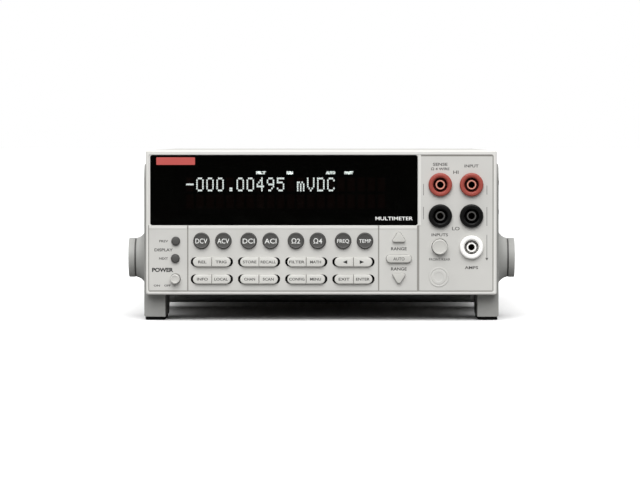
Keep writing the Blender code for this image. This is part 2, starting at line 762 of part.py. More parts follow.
def make_ear(side, label, parent):
    """L-shaped ear: side plate with the handle's hub, and the leg that turns in under the case."""
    across = [
        (LEG_INNER_X, LEG_BOTTOM),
        (EAR_OUTER_X - 0.8, LEG_BOTTOM),
        (EAR_OUTER_X, LEG_BOTTOM + 0.8),
        (EAR_OUTER_X, 95.2),
        (EAR_OUTER_X - 0.8, 96.0),
        (EAR_INNER_X, 96.0),
        (EAR_INNER_X, CASE_BOTTOM - GAP),
        (LEG_INNER_X, CASE_BOTTOM - GAP),
    ]
    bm = bmesh.new()
    prism(bm, "Y", [(side * x, z) for x, z in across], *EAR_Y)
    ear = part(f"mounting_ear_{label}", bm, "ear_plastic", parent)

    y0, y1 = EAR_Y
    outline = arc((y1 - 13.0, LEG_BOTTOM - 1 + 13.0), 13.0, -90, 0, 4)
    outline += arc((y1 - 10.0, 86.5), 10.0, 0, 90, 4)
    outline += arc((y0 + 10.0, 86.5), 10.0, 90, 180, 4)
    outline += [(y0 - 1.0, 76.0), (y0 - 1.0, LEG_BOTTOM - 1)]
    bm = bmesh.new()
    prism(bm, "X", outline, side * 90, side * 112)
    combine(ear, bm, "INTERSECT", "side_outline")

    flare = [(0, 107.8), (16.4, 107.8), (16.4, 109.0), (14.4, 109.8), (13.0, 111.1), (HUB_R, 113.2)]
    profile = flare + [(HUB_R, HUB_FACE_X - 0.4), (HUB_R - 0.4, HUB_FACE_X), (0, HUB_FACE_X)]
    bm = bmesh.new()
    lathe(bm, "X", PIVOT, [(radius, side * x) for radius, x in profile], 24)
    join(ear, bm, "hub")
    bm = bmesh.new()
    prism(bm, "X", circle(PIVOT, 5.0 + GAP, 16), side * 110, side * 117)
    cut(ear, bm, "pin_bore")


def make_feet(parent):
    for side, label in ((-1, "left"), (1, "right")):
        x0, x1 = sorted((side * 96.0, side * 108.0))
        y0, y1 = EAR_Y[0] + 1.5, EAR_Y[1] - 12.0
        outline = rounded(x0, x1, y0, y1, 2.0, 2)
        bm = bmesh.new()
        loft(bm, "Z", [(offset(outline, 0.5), 0.0), (outline, 0.5), (outline, PAD_TOP)])
        part(f"front_foot_pad_{label}", bm, "rubber", parent, origin=(side * 102.6, (y0 + y1) / 2, 0))

        x0, x1 = sorted((side * 84.0, side * 104.0))
        foot = rounded(x0, x1, 132.0, 156.0, 4.0, 3)
        bm = bmesh.new()
        loft(bm, "Z", [(offset(foot, 2.5), 0.0), (offset(foot, 1.5), 1.0), (foot, CASE_BOTTOM - GAP)])
        part(f"rear_foot_{label}", bm, "rubber", parent, origin=(side * 94.0, 144.0, 0))


def handle_stations():
    """Right half of the bail, pivot to middle: x, reach, normal, half thickness, half width."""
    root, arm, grip = 1.7, 1.1, 5.2
    root_x = HANDLE_SIDE_X - root - 0.2
    outer_x = ARM_CENTRE_X + arm
    bend = 14.0
    top = HANDLE_REACH + grip - bend
    jog_start, jog_end = 12.5, 20.5
    stations = [(root_x, 0.0, (1.0, 0.0), root, 8.5)]
    for step in range(6):
        share = step / 5
        eased = share**2 * (3 - 2 * share)
        slope = 6 * share * (1 - share) * (root_x - ARM_CENTRE_X) / (jog_end - jog_start)
        normal = Vector((1.0, slope)).normalized()
        x = root_x + (ARM_CENTRE_X - root_x) * eased
        half = root + (arm - root) * eased
        reach = jog_start + (jog_end - jog_start) * share
        stations.append((x, reach, tuple(normal), half, 8.0 - 2.0 * share))
    stations.append((ARM_CENTRE_X, top, (1.0, 0.0), arm, 6.0))
    for step in range(1, 6):
        share = step / 5
        angle = math.radians(90 * share)
        normal = (math.cos(angle), math.sin(angle))
        half = arm + (grip - arm) * share
        x = outer_x - bend + (bend - half) * normal[0]
        reach = top + (bend - half) * normal[1]
        stations.append((x, reach, normal, half, 6.0 - 0.5 * share))
    return stations


def handle_section(station, mirror):
    """Rounded section of the bail, 12 points, square to its path."""
    x, reach, normal, half, width = station
    round_r = 0.55 * min(half, width)
    outline = rounded(-half, half, -width, width, round_r, 2)
    along = Vector((0, math.cos(HANDLE_DROP), -math.sin(HANDLE_DROP)))
    square = Vector((0, math.sin(HANDLE_DROP), math.cos(HANDLE_DROP)))
    pivot = Vector((0, *PIVOT))
    points = []
    for p, q in outline:
        sideways = mirror * (x + p * normal[0])
        points.append(pivot + Vector((sideways, 0, 0)) + along * (reach + p * normal[1]) + square * q)
    return points


def make_carry_handle(pivot_empty):
    stations = handle_stations()
    right = [handle_section(station, 1) for station in stations]
    left = [handle_section(station, -1) for station in stations]
    bm = bmesh.new()
    skin(bm, right + left[::-1])
    handle = part("carry_handle", bm, "ear_plastic", pivot_empty, origin=(0, *PIVOT))
    handle.location = (0, 0, 0)
    bm = bmesh.new()
    inner = HUB_FACE_X + HUB_SEAM
    for side in (-1, 1):
        profile = [
            (0, 110.4),
            (4.6, 110.4),
            (5.0, 110.8),
            (5.0, inner),
            (HUB_R, inner),
            (HUB_R, HANDLE_SIDE_X - 0.8),
            (HUB_R - 0.8, HANDLE_SIDE_X),
            (0, HANDLE_SIDE_X),
        ]
        lathe(bm, "X", PIVOT, [(radius, side * x) for radius, x in profile], 24)
    join(handle, bm, "discs_and_pins")


def axis_empty(name, location, parent):
    empty = bpy.data.objects.new(name, None)
    bpy.context.scene.collection.objects.link(empty)
    empty.parent = parent
    empty.location = Vector(location) * MM
    empty.empty_display_size = 0.02
    return empty


def main():
    for obj in list(bpy.data.objects):
        bpy.data.objects.remove(obj, do_unlink=True)
    meter = axis_empty("multimeter", (0, 0, 0), None)
    rotor_middle = (FAN_SPOT[0], (ROTOR_FRONT + ROTOR_BACK) / 2, FAN_SPOT[1])
    fan_turn = axis_empty("fan_axis", rotor_middle, meter)
    handle_turn = axis_empty("handle_axis", (0, *PIVOT), meter)

    make_front_bezel(meter)
    make_display(meter)
    make_keypad_mat(meter)
    make_keys(meter)
    make_push_button("power_button", POWER_SPOT, POWER_BUTTON_R, POWER_ROD_R, meter)
    make_push_button("input_switch_button", INPUT_SWITCH_SPOT, INPUT_BUTTON_R, INPUT_ROD_R, meter)
    make_jacks(meter)
    make_cal_port_plug(meter)
    make_case_cover(meter)
    make_chassis(meter)
    make_main_board(meter)
    make_transformer(meter)
    make_rear_bezel(meter)
    make_fan(meter, fan_turn)
    make_power_inlet(meter)
    make_bus_connector(meter)
    make_rear_jack_block(meter)
    for side, label in ((-1, "left"), (1, "right")):
        make_ear(side, label, meter)
    make_feet(meter)
    make_carry_handle(handle_turn)


main()
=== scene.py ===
"""Looks of the bench multimeter: fine surfaces, printing, display, fittings, stage and camera.

Lengths are in millimetres until a mesh is made. +Z is up and the front panel faces -Y.
"""

import json
import math

import bmesh
import bpy
from mathutils import Matrix, Vector

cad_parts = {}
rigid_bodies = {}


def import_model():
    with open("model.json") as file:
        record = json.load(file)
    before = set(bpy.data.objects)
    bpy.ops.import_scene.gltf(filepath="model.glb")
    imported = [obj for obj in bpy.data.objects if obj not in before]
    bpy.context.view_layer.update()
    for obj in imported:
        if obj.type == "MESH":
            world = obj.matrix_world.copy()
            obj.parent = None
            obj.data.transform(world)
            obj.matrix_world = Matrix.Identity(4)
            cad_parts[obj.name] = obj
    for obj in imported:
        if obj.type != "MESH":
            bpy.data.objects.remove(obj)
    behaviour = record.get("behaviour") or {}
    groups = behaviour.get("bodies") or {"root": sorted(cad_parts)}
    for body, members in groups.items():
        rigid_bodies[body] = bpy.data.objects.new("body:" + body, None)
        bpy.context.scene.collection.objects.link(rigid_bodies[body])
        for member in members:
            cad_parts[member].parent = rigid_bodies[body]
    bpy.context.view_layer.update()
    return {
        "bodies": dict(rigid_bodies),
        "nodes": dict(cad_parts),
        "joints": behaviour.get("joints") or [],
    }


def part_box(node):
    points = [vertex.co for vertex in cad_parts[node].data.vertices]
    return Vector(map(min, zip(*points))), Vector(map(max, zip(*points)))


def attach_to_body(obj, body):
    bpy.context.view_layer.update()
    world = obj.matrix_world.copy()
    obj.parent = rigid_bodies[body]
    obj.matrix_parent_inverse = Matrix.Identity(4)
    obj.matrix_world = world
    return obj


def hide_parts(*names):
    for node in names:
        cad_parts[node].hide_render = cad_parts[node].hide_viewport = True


MM = 0.001
METER = "meter"  # the body that everything fixed rides on
SMOOTH_ANGLE = 35  # edges sharper than this stay sharp, in degrees

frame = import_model()
nodes = frame["nodes"]


def corners(node):
    """Lowest and highest corner of a CAD node in millimetres."""
    low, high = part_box(node)
    return low / MM, high / MM


def centre(node):
    low, high = corners(node)
    return (low + high) / 2


BEZEL_LOW, BEZEL_HIGH = corners("front_bezel")
FACE = BEZEL_LOW.y
OVERLAY_BACK = FACE + 0.48
OVERLAY_FRONT = FACE + 0.26
LENS_LOW, LENS_HIGH = corners("display_lens")
WINDOW_X = (LENS_LOW.x + 0.35, LENS_HIGH.x - 1.5)
WINDOW_Z = (LENS_LOW.z + 1.5, LENS_HIGH.z - 0.5)


# Outlines


def circle(middle, radius, sides=48):
    turns = (2 * math.pi * i / sides for i in range(sides))
    return [(middle[0] + radius * math.cos(a), middle[1] + radius * math.sin(a)) for a in turns]


def arc(middle, radius, start, end, steps):
    """Points from the start angle to the end angle, both in degrees."""
    angles = (math.radians(start + (end - start) * i / steps) for i in range(steps + 1))
    return [(middle[0] + radius * math.cos(a), middle[1] + radius * math.sin(a)) for a in angles]


def rounded(u0, u1, v0, v1, radius, steps=6):
    """Counterclockwise rectangle with round corners."""
    outline = arc((u1 - radius, v1 - radius), radius, 0, 90, steps)
    outline += arc((u0 + radius, v1 - radius), radius, 90, 180, steps)
    outline += arc((u0 + radius, v0 + radius), radius, 180, 270, steps)
    outline += arc((u1 - radius, v0 + radius), radius, 270, 360, steps)
    return outline


def offset(outline, distance):
    """Convex counterclockwise outline moved inward by the distance, outward if negative."""
    moved = []
    count = len(outline)
    for i in range(count):
        before, here, after = (Vector(outline[(i + k) % count]) for k in (-1, 0, 1))
        along_in = (here - before).normalized()
        along_out = (after - here).normalized()
        normal_in = Vector((-along_in.y, along_in.x))
        normal_out = Vector((-along_out.y, along_out.x))
        mitre = (normal_in + normal_out).normalized()
        moved.append(tuple(here + mitre * distance / mitre.dot(normal_in)))
    return moved


def shifted(outline, u, v):
    return [(p[0] + u, p[1] + v) for p in outline]


def pill(half_length, radius, steps=16):
    straight = half_length - radius
    return arc((straight, 0), radius, -90, 90, steps) + arc((-straight, 0), radius, 90, 270, steps)


# Meshes

AXES = {"X": (1, 2, 0), "Y": (0, 2, 1), "Z": (0, 1, 2)}  # outline's two axes, then the depth


def spot(axis, u, v, along):
    coordinates = [0.0, 0.0, 0.0]
    for place, value in zip(AXES[axis], (u, v, along)):
        coordinates[place] = value
    return Vector(coordinates)


def skin(bm, loops):
    """Closed solid through rings of points; a ring of one point is a pole."""
    rings = [[bm.verts.new(p) for p in loop] for loop in loops]
    sides = max(len(ring) for ring in rings)
    for a, b in zip(rings, rings[1:]):
        for i in range(sides):
            j = (i + 1) % sides
            corner_points = [a[i % len(a)], a[j % len(a)], b[j % len(b)], b[i % len(b)]]
            bm.faces.new(list(dict.fromkeys(corner_points)))
    for ring in (rings[0], rings[-1]):
        if len(ring) > 1:
            bm.faces.new(ring)


def loft(bm, axis, sections):
    """Solid through (outline, distance along the axis) sections."""
    skin(bm, [[spot(axis, u, v, along) for u, v in outline] for outline, along in sections])


def prism(bm, axis, outline, start, end):
    loft(bm, axis, [(outline, start), (outline, end)])


def box(bm, x0, x1, y0, y1, z0, z1):
    prism(bm, "Z", [(x0, y0), (x1, y0), (x1, y1), (x0, y1)], z0, z1)


def lathe(bm, axis, middle, profile, sides=48):
    """Turned solid from (radius, distance along the axis) points that start and end at radius 0."""
    loops = []
    for radius, along in profile:
        outline = circle(middle, radius, sides) if radius else [middle]
        loops.append([spot(axis, u, v, along) for u, v in outline])
    skin(bm, loops)


def turned_ring(bm, axis, middle, profile, sides=48):
    """Turned ring: the (radius, distance) profile is closed and stays off the axis."""
    outlines = [(circle(middle, radius, sides), along) for radius, along in profile]
    rings = [[bm.verts.new(spot(axis, u, v, along)) for u, v in outline] for outline, along in outlines]
    for a, b in zip(rings, rings[1:] + rings[:1]):
        for k in range(sides):
            bm.faces.new([a[k], a[(k + 1) % sides], b[(k + 1) % sides], b[k]])


def corner_curve(before, here, after, radius, share, steps):
    """Curve in place of a corner; its ends are at most the radius or a share of a side away."""
    corner = Vector(here)
    back = Vector(before) - corner
    ahead = Vector(after) - corner
    reach = min(radius, share * back.length, share * ahead.length)
    start = corner + back.normalized() * reach
    end = corner + ahead.normalized() * reach
    places = (i / steps for i in range(steps + 1))
    return [tuple(start * (1 - t) ** 2 + corner * 2 * t * (1 - t) + end * t**2) for t in places]


def eased(points, radius, steps=3):
    """Turned profile with each inner corner rounded by about the radius."""
    smooth = [points[0]]
    for before, here, after in zip(points, points[1:], points[2:]):
        smooth += corner_curve(before, here, after, radius, 0.45, steps)
    return [*smooth, points[-1]]


def linked(name, data):
    made = bpy.data.objects.new(name, data)
    bpy.context.scene.collection.objects.link(made)
    return made


def solid_object(name, bm):
    """Object from a bmesh in millimetres, which is then freed."""
    bm.transform(Matrix.Scale(MM, 4))
    mesh = bpy.data.meshes.new(name)
    bm.to_mesh(mesh)
    bm.free()
    return linked(name, mesh)


def dress(made, finish):
    made.data.materials.clear()
    made.data.materials.append(MATERIALS[finish])
    made.data.shade_smooth()
    made.data.set_sharp_from_angle(angle=math.radians(SMOOTH_ANGLE))


def attach(made, finish, body):
    """Material and slot of a piece, and the body it rides on."""
    dress(made, finish)
    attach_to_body(made, body)


def piece(name, bm, finish, body=METER, replaced=()):
    """Finished piece from a bmesh in millimetres, in place of the replaced CAD nodes."""
    bmesh.ops.recalc_face_normals(bm, faces=bm.faces)
    made = solid_object(name, bm)
    attach(made, finish, body)
    if replaced:
        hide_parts(*replaced)
    return made


def turned(name, axis, middle, profile, finish, body=METER, replaced=(), sides=48):
    """Piece that is one turned solid."""
    bm = bmesh.new()
    lathe(bm, axis, middle, profile, sides)
    piece(name, bm, finish, body, replaced)


def round_edges(made, width, segments=2, angle=32):
    bevel = made.modifiers.new("rounded_edges", "BEVEL")
    bevel.width = width * MM
    bevel.segments = segments
    bevel.limit_method = "ANGLE"
    bevel.angle_limit = math.radians(angle)
    normals = made.modifiers.new("flat_faces", "WEIGHTED_NORMAL")
    normals.keep_sharp = False
    made.data.shade_smooth()


def keep_node(node, finish, width=0.0, segments=2):
    """CAD node whose shape stays: it gets its material and softly rounded edges."""
    made = nodes[node]
    dress(made, finish)
    if width:
        weld = made.modifiers.new("weld", "WELD")
        weld.merge_threshold = 0.000001
        round_edges(made, width, segments)


def flat_shape(name, loops, start, thickness, finish, ease=0.0):
    """Thin plate in x and z with holes: the first loop is its edge and the rest are holes."""
    curve = bpy.data.curves.new(name, "CURVE")
    curve.dimensions = "2D"
    curve.fill_mode = "BOTH"
    curve.extrude = (thickness / 2 - ease) * MM
    curve.bevel_depth = ease * MM
    curve.bevel_resolution = 1
    curve.offset = -ease * MM
    for loop in loops:
        spline = curve.splines.new("POLY")
        spline.points.add(len(loop) - 1)
        spline.use_cyclic_u = True
        for point, (x, z) in zip(spline.points, loop):
            point.co = (x * MM, z * MM, 0, 1)
    mesh = curve_mesh(curve)
    middle_y = (start + thickness / 2) * MM
    mesh.transform(Matrix.Translation((0, middle_y, 0)) @ Matrix.Rotation(math.pi / 2, 4, "X"))
    attach(linked(name, mesh), finish, METER)


def curve_mesh(curve):
    """Mesh of a curve or text datablock."""
    holder = linked("curve_holder", curve)
    depsgraph = bpy.context.evaluated_depsgraph_get()
    mesh = bpy.data.meshes.new_from_object(holder.evaluated_get(depsgraph))
    bpy.data.objects.remove(holder, do_unlink=True)
    return mesh


def text_into(bm, words, x, z, cap, width=None, y=OVERLAY_FRONT, bold=0.0, facing=-1):
    """Adds printed words, centred on x and z; cap is the height of a capital letter."""
    curve = bpy.data.curves.new("words", "FONT")
    curve.body = words
    curve.align_x = "CENTER"
    curve.resolution_u = 3
    curve.extrude = 0.01
    curve.offset = bold
    mesh = curve_mesh(curve)
    low_x = min(v.co.x for v in mesh.vertices)
    high_x = max(v.co.x for v in mesh.vertices)
    cap_share = 0.73  # capital height of the built-in font at size 1
    tall = cap / cap_share
    wide = width / (high_x - low_x) if width else tall
    middle_x = (low_x + high_x) / 2
    turn = Matrix.Rotation(math.pi / 2, 4, "X")
    if facing > 0:
        turn = Matrix.Rotation(math.pi, 4, "Z") @ turn
    scale = Matrix.Diagonal((wide, tall, 1.0, 1.0))
    move = Matrix.Translation((x, y, z))
    mesh.transform(move @ turn @ scale @ Matrix.Translation((-middle_x, -cap_share / 2, 0)))
    bm.from_mesh(mesh)
    bpy.data.meshes.remove(mesh)


# Materials


def srgb(red, green, blue):
    shares = (channel / 255 for channel in (red, green, blue))
    linear = (s / 12.92 if s <= 0.04045 else ((s + 0.055) / 1.055) ** 2.4 for s in shares)
    return (*linear, 1.0)


def new_material(name):
    made = bpy.data.materials.new(name)
    made.use_nodes = True
    tree = made.node_tree
    return made, tree, tree.nodes["Principled BSDF"]


def noise(tree, size, detail=3.0, stretch=(1.0, 1.0, 1.0)):
    """Noise whose features are about size millimetres across, fixed to the object."""
    place = tree.nodes.new("ShaderNodeTexCoord")
    mapping = tree.nodes.new("ShaderNodeMapping")
    mapping.inputs["Scale"].default_value = stretch
    texture = tree.nodes.new("ShaderNodeTexNoise")
    texture.inputs["Scale"].default_value = 1 / (size * MM)
    texture.inputs["Detail"].default_value = detail
    tree.links.new(place.outputs["Object"], mapping.inputs["Vector"])
    tree.links.new(mapping.outputs["Vector"], texture.inputs["Vector"])
    return texture.outputs["Fac"]


def ranged(tree, source, low, high):
    mapped = tree.nodes.new("ShaderNodeMapRange")
    mapped.inputs["From Min"].default_value = 0.3
    mapped.inputs["From Max"].default_value = 0.7
    mapped.inputs["To Min"].default_value = low
    mapped.inputs["To Max"].default_value = high
    tree.links.new(source, mapped.inputs["Value"])
    return mapped.outputs["Result"]


def tinted(tree, shader, colour, share, source):
    """Base colour that drifts lighter and darker by the given share."""
    blend = tree.nodes.new("ShaderNodeMix")
    blend.data_type = "RGBA"
    blend.inputs["A"].default_value = (*(c * (1 - share) for c in colour[:3]), 1.0)
    blend.inputs["B"].default_value = (*(min(1.0, c * (1 + share)) for c in colour[:3]), 1.0)
    tree.links.new(ranged(tree, source, 0.0, 1.0), blend.inputs["Factor"])
    tree.links.new(blend.outputs["Result"], shader.inputs["Base Color"])


def bumped(tree, shader, source, height):
    bump = tree.nodes.new("ShaderNodeBump")
    bump.inputs["Distance"].default_value = height * MM
    bump.inputs["Strength"].default_value = 0.6
    tree.links.new(source, bump.inputs["Height"])
    tree.links.new(bump.outputs["Normal"], shader.inputs["Normal"])


def moulded(name, colour, roughness, grain=0.35, height=0.012, drift=0.03, metallic=0.0, level=0.5):
    """Plastic, paint or rubber: fine grain, slow colour drift and uneven gloss."""
    made, tree, shader = new_material(name)
    fine = noise(tree, grain, 2.0)
    slow = noise(tree, 22.0, 2.0)
    tinted(tree, shader, srgb(*colour), drift, slow)
    tree.links.new(ranged(tree, slow, roughness - 0.05, roughness + 0.05), shader.inputs["Roughness"])
    bumped(tree, shader, fine, height)
    shader.inputs["Metallic"].default_value = metallic
    shader.inputs["Specular IOR Level"].default_value = level
    return made


def brushed(name, colour, roughness, stretch):
    """Metal with long fine scratches across one axis."""
    made, tree, shader = new_material(name)
    lines = noise(tree, 0.6, 4.0, stretch)
    tinted(tree, shader, srgb(*colour), 0.08, lines)
    tree.links.new(ranged(tree, lines, roughness - 0.08, roughness + 0.1), shader.inputs["Roughness"])
    bumped(tree, shader, lines, 0.004)
    shader.inputs["Metallic"].default_value = 1.0
    return made


def smoked_acrylic(name):
    """Almost black window: polished, with faint smears, a little light passing through."""
    made, tree, shader = new_material(name)
    smears = noise(tree, 14.0, 4.0, (1.0, 1.0, 2.2))
    shader.inputs["Base Color"].default_value = (0.0012, 0.0012, 0.001, 1.0)
    tree.links.new(ranged(tree, smears, 0.03, 0.09), shader.inputs["Roughness"])
    shader.inputs["Specular IOR Level"].default_value = 0.3
    shader.inputs["Alpha"].default_value = 0.86
    return made


def glowing(name, colour, strength):
    made, tree, shader = new_material(name)
    shader.inputs["Emission Color"].default_value = srgb(*colour)
    flicker = noise(tree, 1.5, 2.0)
    tinted(tree, shader, srgb(*colour), 0.1, flicker)
    shader.inputs["Emission Strength"].default_value = strength
    return made


def circuit_board(name):
    """Green solder resist over a weave of copper tracks."""
    made, tree, shader = new_material(name)
    tracks = noise(tree, 5.0, 1.0, (1.0, 0.15, 1.0))
    tinted(tree, shader, srgb(34, 84, 54), 0.35, tracks)
    bumped(tree, shader, tracks, 0.03)
    shader.inputs["Roughness"].default_value = 0.35
    return made


MOULDED = {  # colour, roughness, grain, grain height, colour drift, metallic, specular level
    "bezel_plastic": ((212, 211, 207), 0.48, 0.35, 0.012, 0.015),
    "overlay_print": ((195, 194, 190), 0.55, 0.25, 0.006, 0.03),
    "tube_glass": ((20, 21, 22), 0.15, 0.35, 0.0),
    "silicone": ((58, 58, 60), 0.75),
    "dark_key": ((70, 69, 67), 0.5, 0.3, 0.008),
    "light_key": ((202, 201, 196), 0.42, 0.3, 0.008, 0.015),
    "soft_key": ((192, 191, 186), 0.45, 0.3, 0.008, 0.015),
    "painted_case": ((197, 196, 192), 0.6, 0.7, 0.04, 0.015, 0.0, 0.1),
    "ear_plastic": ((143, 143, 140), 0.52, 0.45, 0.02, 0.03),
    "handle_plastic": ((162, 162, 159), 0.5, 0.45, 0.02, 0.03),
    "rubber": ((9, 9, 9), 0.8, 0.5, 0.03, 0.12, 0.0, 0.15),
    "red_jack": ((152, 68, 58), 0.38, 0.4, 0.006, 0.03, 0.0, 0.35),
    "black_jack": ((7, 7, 7), 0.32, 0.4, 0.006, 0.03, 0.0, 0.22),
    "white_jack": ((247, 246, 243), 0.38, 0.4, 0.006, 0.01),
    "black_plastic": ((26, 26, 27), 0.5),
    "transformer_iron": ((92, 84, 70), 0.5, 0.8, 0.05, 0.1, 0.7),
    "red_sleeve": ((206, 140, 122), 0.4, 0.4, 0.006, 0.03, 0.0, 0.35),
    "badge_red": ((184, 78, 72), 0.4, 0.3, 0.004, 0.04),
    # painted shade: grey of the strips that stand in for shadow in the grooves round the overlays
    "painted_shade_grey": ((140, 138, 133), 0.7, 0.4, 0.01, 0.03),
    "ink_dark": ((66, 65, 63), 0.6, 0.3, 0.003, 0.05),
    "ink_black": ((24, 24, 24), 0.6, 0.3, 0.003, 0.05),
    "ink_white": ((238, 239, 236), 0.5, 0.3, 0.003, 0.02),
}
MATERIALS = {name: moulded(name, *values) for name, values in MOULDED.items()}
MATERIALS["window_acrylic"] = smoked_acrylic("window_acrylic")
MATERIALS["board"] = circuit_board("board")
for name, colour, strength in (
    ("display_glow", (240, 250, 245), 44.0),
    # painted glow: the unlit dots are given a faint reddish emission
    ("unlit_dots_painted_glow", (150, 84, 74), 0.3),
):
    MATERIALS[name] = glowing(name, colour, strength)
for name, colour, roughness, stretch in (
    ("sheet_steel", (186, 188, 190), 0.34, (1.0, 1.0, 0.04)),
    ("contact_metal", (206, 184, 132), 0.25, (1.0, 0.1, 1.0)),
    # painted shade: a darkened copy of contact_metal, for the cups deep inside the jacks
    ("contact_painted_shade", (60, 50, 36), 0.4, (1.0, 0.1, 1.0)),
    ("screw_steel", (196, 196, 194), 0.24, (1.0, 1.0, 1.0)),
):
    MATERIALS[name] = brushed(name, colour, roughness, stretch)


# Front panel

JACKS = {
    "jack_sense_hi": "red_jack",
    "jack_input_hi": "red_jack",
    "jack_sense_lo": "black_jack",
    "jack_input_lo": "black_jack",
    "amps_fuse_jack": "white_jack",
}
SLEEVES = {"red_jack": "red_sleeve", "black_jack": "dark_key", "white_jack": "white_jack"}
ROUND_KEYS = {
    "key_dcv": "DCV",
    "key_acv": "ACV",
    "key_dci": "DCI",
    "key_aci": "ACI",
    "key_ohm2": "Ω2",
    "key_ohm4": "Ω4",
    "key_freq": "FREQ",
    "key_temp": "TEMP",
}
KEY_PAIRS = (
    ("rel", "trig"),
    ("store", "recall"),
    ("filter", "math"),
    ("left", "right"),
    ("info", "local"),
    ("chan", "scan"),
    ("config", "menu"),
    ("exit", "enter"),
)
KEY_FRONT, KEY_BACK = (corner.y for corner in corners("key_dcv"))
ROUND_KEY_R = 4.8
SMALL_KEY_R = 2.6
PILL_R = 2.8
PILL_HALF_LENGTH = 11.5
HALF_GAP = 0.09  # from a pair's middle to each key
SLOT_HALF_LENGTH = 13.0
TRIANGLE = [(-3.4, -2.9), (3.4, -2.9), (4.0, -2.0), (0.85, 3.1), (-0.85, 3.1), (-4.0, -2.0)]


def spot_of(node):
    """x and z of a node's middle."""
    middle = centre(node)
    return (middle.x, middle.z)


def pair_centre(pair):
    left, right = (corners(f"key_{name}") for name in pair)
    return ((left[0].x + right[1].x) / 2, (left[0].z + left[1].z) / 2)


def blunted(outline, radius, steps=5):
    """Convex outline with each corner rounded."""
    smooth = []
    count = len(outline)
    for i in range(count):
        before, here, after = (outline[(i + k) % count] for k in (-1, 0, 1))
        smooth += corner_curve(before, here, after, radius, 0.48, steps)
    return smooth


def cap_sections(outline, front, back, edge=0.55, steps=5):
    """Sections of a key with a rounded front edge."""
    sections = []
    for step in range(steps + 1):
        angle = math.pi / 2 * step / steps
        inset = edge * (1 - math.sin(angle))
        sections.append((offset(outline, inset), front + edge * (1 - math.cos(angle))))
    sections.append((outline, back))
    return sections


def key_cap(node, outline, finish, edge=0.55):
    bm = bmesh.new()
    loft(bm, "Y", cap_sections(outline, KEY_FRONT, KEY_BACK, edge))
    piece(f"{node}_cap", bm, finish, node, [node])


def printed_on(node, words, x, z, cap, width, y, finish, bold=0.0):
    bm = bmesh.new()
    text_into(bm, words, x, z, cap, width, y - 0.012, bold)
    piece(f"{node}_print", bm, finish, node)


def make_round_keys():
    """Dark caps: a flat top inside a raised rim, with white printing."""
    recess = 0.22
    for node, words in ROUND_KEYS.items():
        x, z = spot_of(node)
        profile = [(0, KEY_FRONT + recess), (ROUND_KEY_R - 0.95, KEY_FRONT + recess)]
        profile += [(ROUND_KEY_R - 0.7, KEY_FRONT), (ROUND_KEY_R - 0.25, KEY_FRONT)]
        profile += [(ROUND_KEY_R, KEY_FRONT + 0.5), (ROUND_KEY_R, KEY_BACK), (0, KEY_BACK)]
        turned(f"{node}_cap", "Y", (x, z), eased(profile, 0.15), "dark_key", node, [node])
        width = 7.2 if len(words) > 2 else 5.2
        cap = 3.1 if len(words) < 4 else 2.3
        printed_on(node, words, x, z, cap, width, KEY_FRONT + recess, "ink_white", 0.002)


def make_small_keys():
    for node in ("key_prev", "key_next"):
        profile = [(0, KEY_FRONT), (SMALL_KEY_R - 0.5, KEY_FRONT + 0.1), (SMALL_KEY_R, KEY_FRONT + 0.6)]
        profile += [(SMALL_KEY_R, KEY_BACK), (0, KEY_BACK)]
        turned(f"{node}_cap", "Y", spot_of(node), eased(profile, 0.3), "dark_key", node, [node], 32)


def arrow(x, z, side):
    """Small filled triangle that points left or right."""
    tip = (x + side * 1.5, z)
    tail = x - side * 1.2
    points = [tip, (tail, z + 1.15), (tail, z - 1.15)]
    return points if side > 0 else points[::-1]


def make_pair_keys():
    """Light half-pill caps, two to a slot, with dark printing."""
    straight = PILL_HALF_LENGTH - PILL_R
    right = arc((straight, 0), PILL_R, -90, 90, 18) + [(HALF_GAP, PILL_R), (HALF_GAP, -PILL_R)]
    left = [(-u, v) for u, v in reversed(right)]
    for pair in KEY_PAIRS:
        x, z = pair_centre(pair)
        for side, outline, name in zip((-1, 1), (left, right), pair):
            node = f"key_{name}"
            key_cap(node, shifted(outline, x, z), "light_key")
            word_x = x + side * 5.7
            if name in ("left", "right"):
                bm = bmesh.new()
                prism(bm, "Y", arrow(x + side * 5.0, z, side), KEY_FRONT - 0.02, KEY_FRONT - 0.002)
                piece(f"{node}_print", bm, "ink_black", node)
            else:
                width = min(1.62 * len(name) + 0.2, 9.4)
                printed_on(node, name.upper(), word_x, z + 0.1, 1.7, width, KEY_FRONT, "ink_dark", 0.02)


def make_range_keys():
    up = blunted(TRIANGLE, 0.9)
    down = [(-u, -v) for u, v in up]
    for node, outline in (("key_range_up", up), ("key_range_down", down)):
        low, high = corners(node)
        x, z = (low.x + high.x) / 2, (low.z + high.z) / 2
        middle_z = (min(v for _, v in outline) + max(v for _, v in outline)) / 2
        key_cap(node, shifted(outline, x, z - middle_z), "soft_key", 0.4)
    x, z = spot_of("key_auto")
    key_cap("key_auto", shifted(pill(7.75, 2.45), x, z), "soft_key", 0.6)
    printed_on("key_auto", "AUTO", x, z, 1.9, 6.9, KEY_FRONT, "ink_dark", 0.012)


def make_buttons():
    """Push-push buttons that stand out of the panel, with their rods."""
    for node, radius, rod in (("power_button", 3.0, 1.6), ("input_switch_button", 4.7, 2.0)):
        low, high = corners(node)
        shoulder = FACE + 6.0
        profile = [(0, low.y + 0.45), (radius - 1.1, low.y + 0.2), (radius - 0.7, low.y)]
        profile += [(radius, low.y + 0.35), (radius, shoulder), (rod, shoulder), (rod, high.y), (0, high.y)]
        turned(f"{node}_cap", "Y", spot_of(node), eased(profile, 0.3), "soft_key", node, [node])


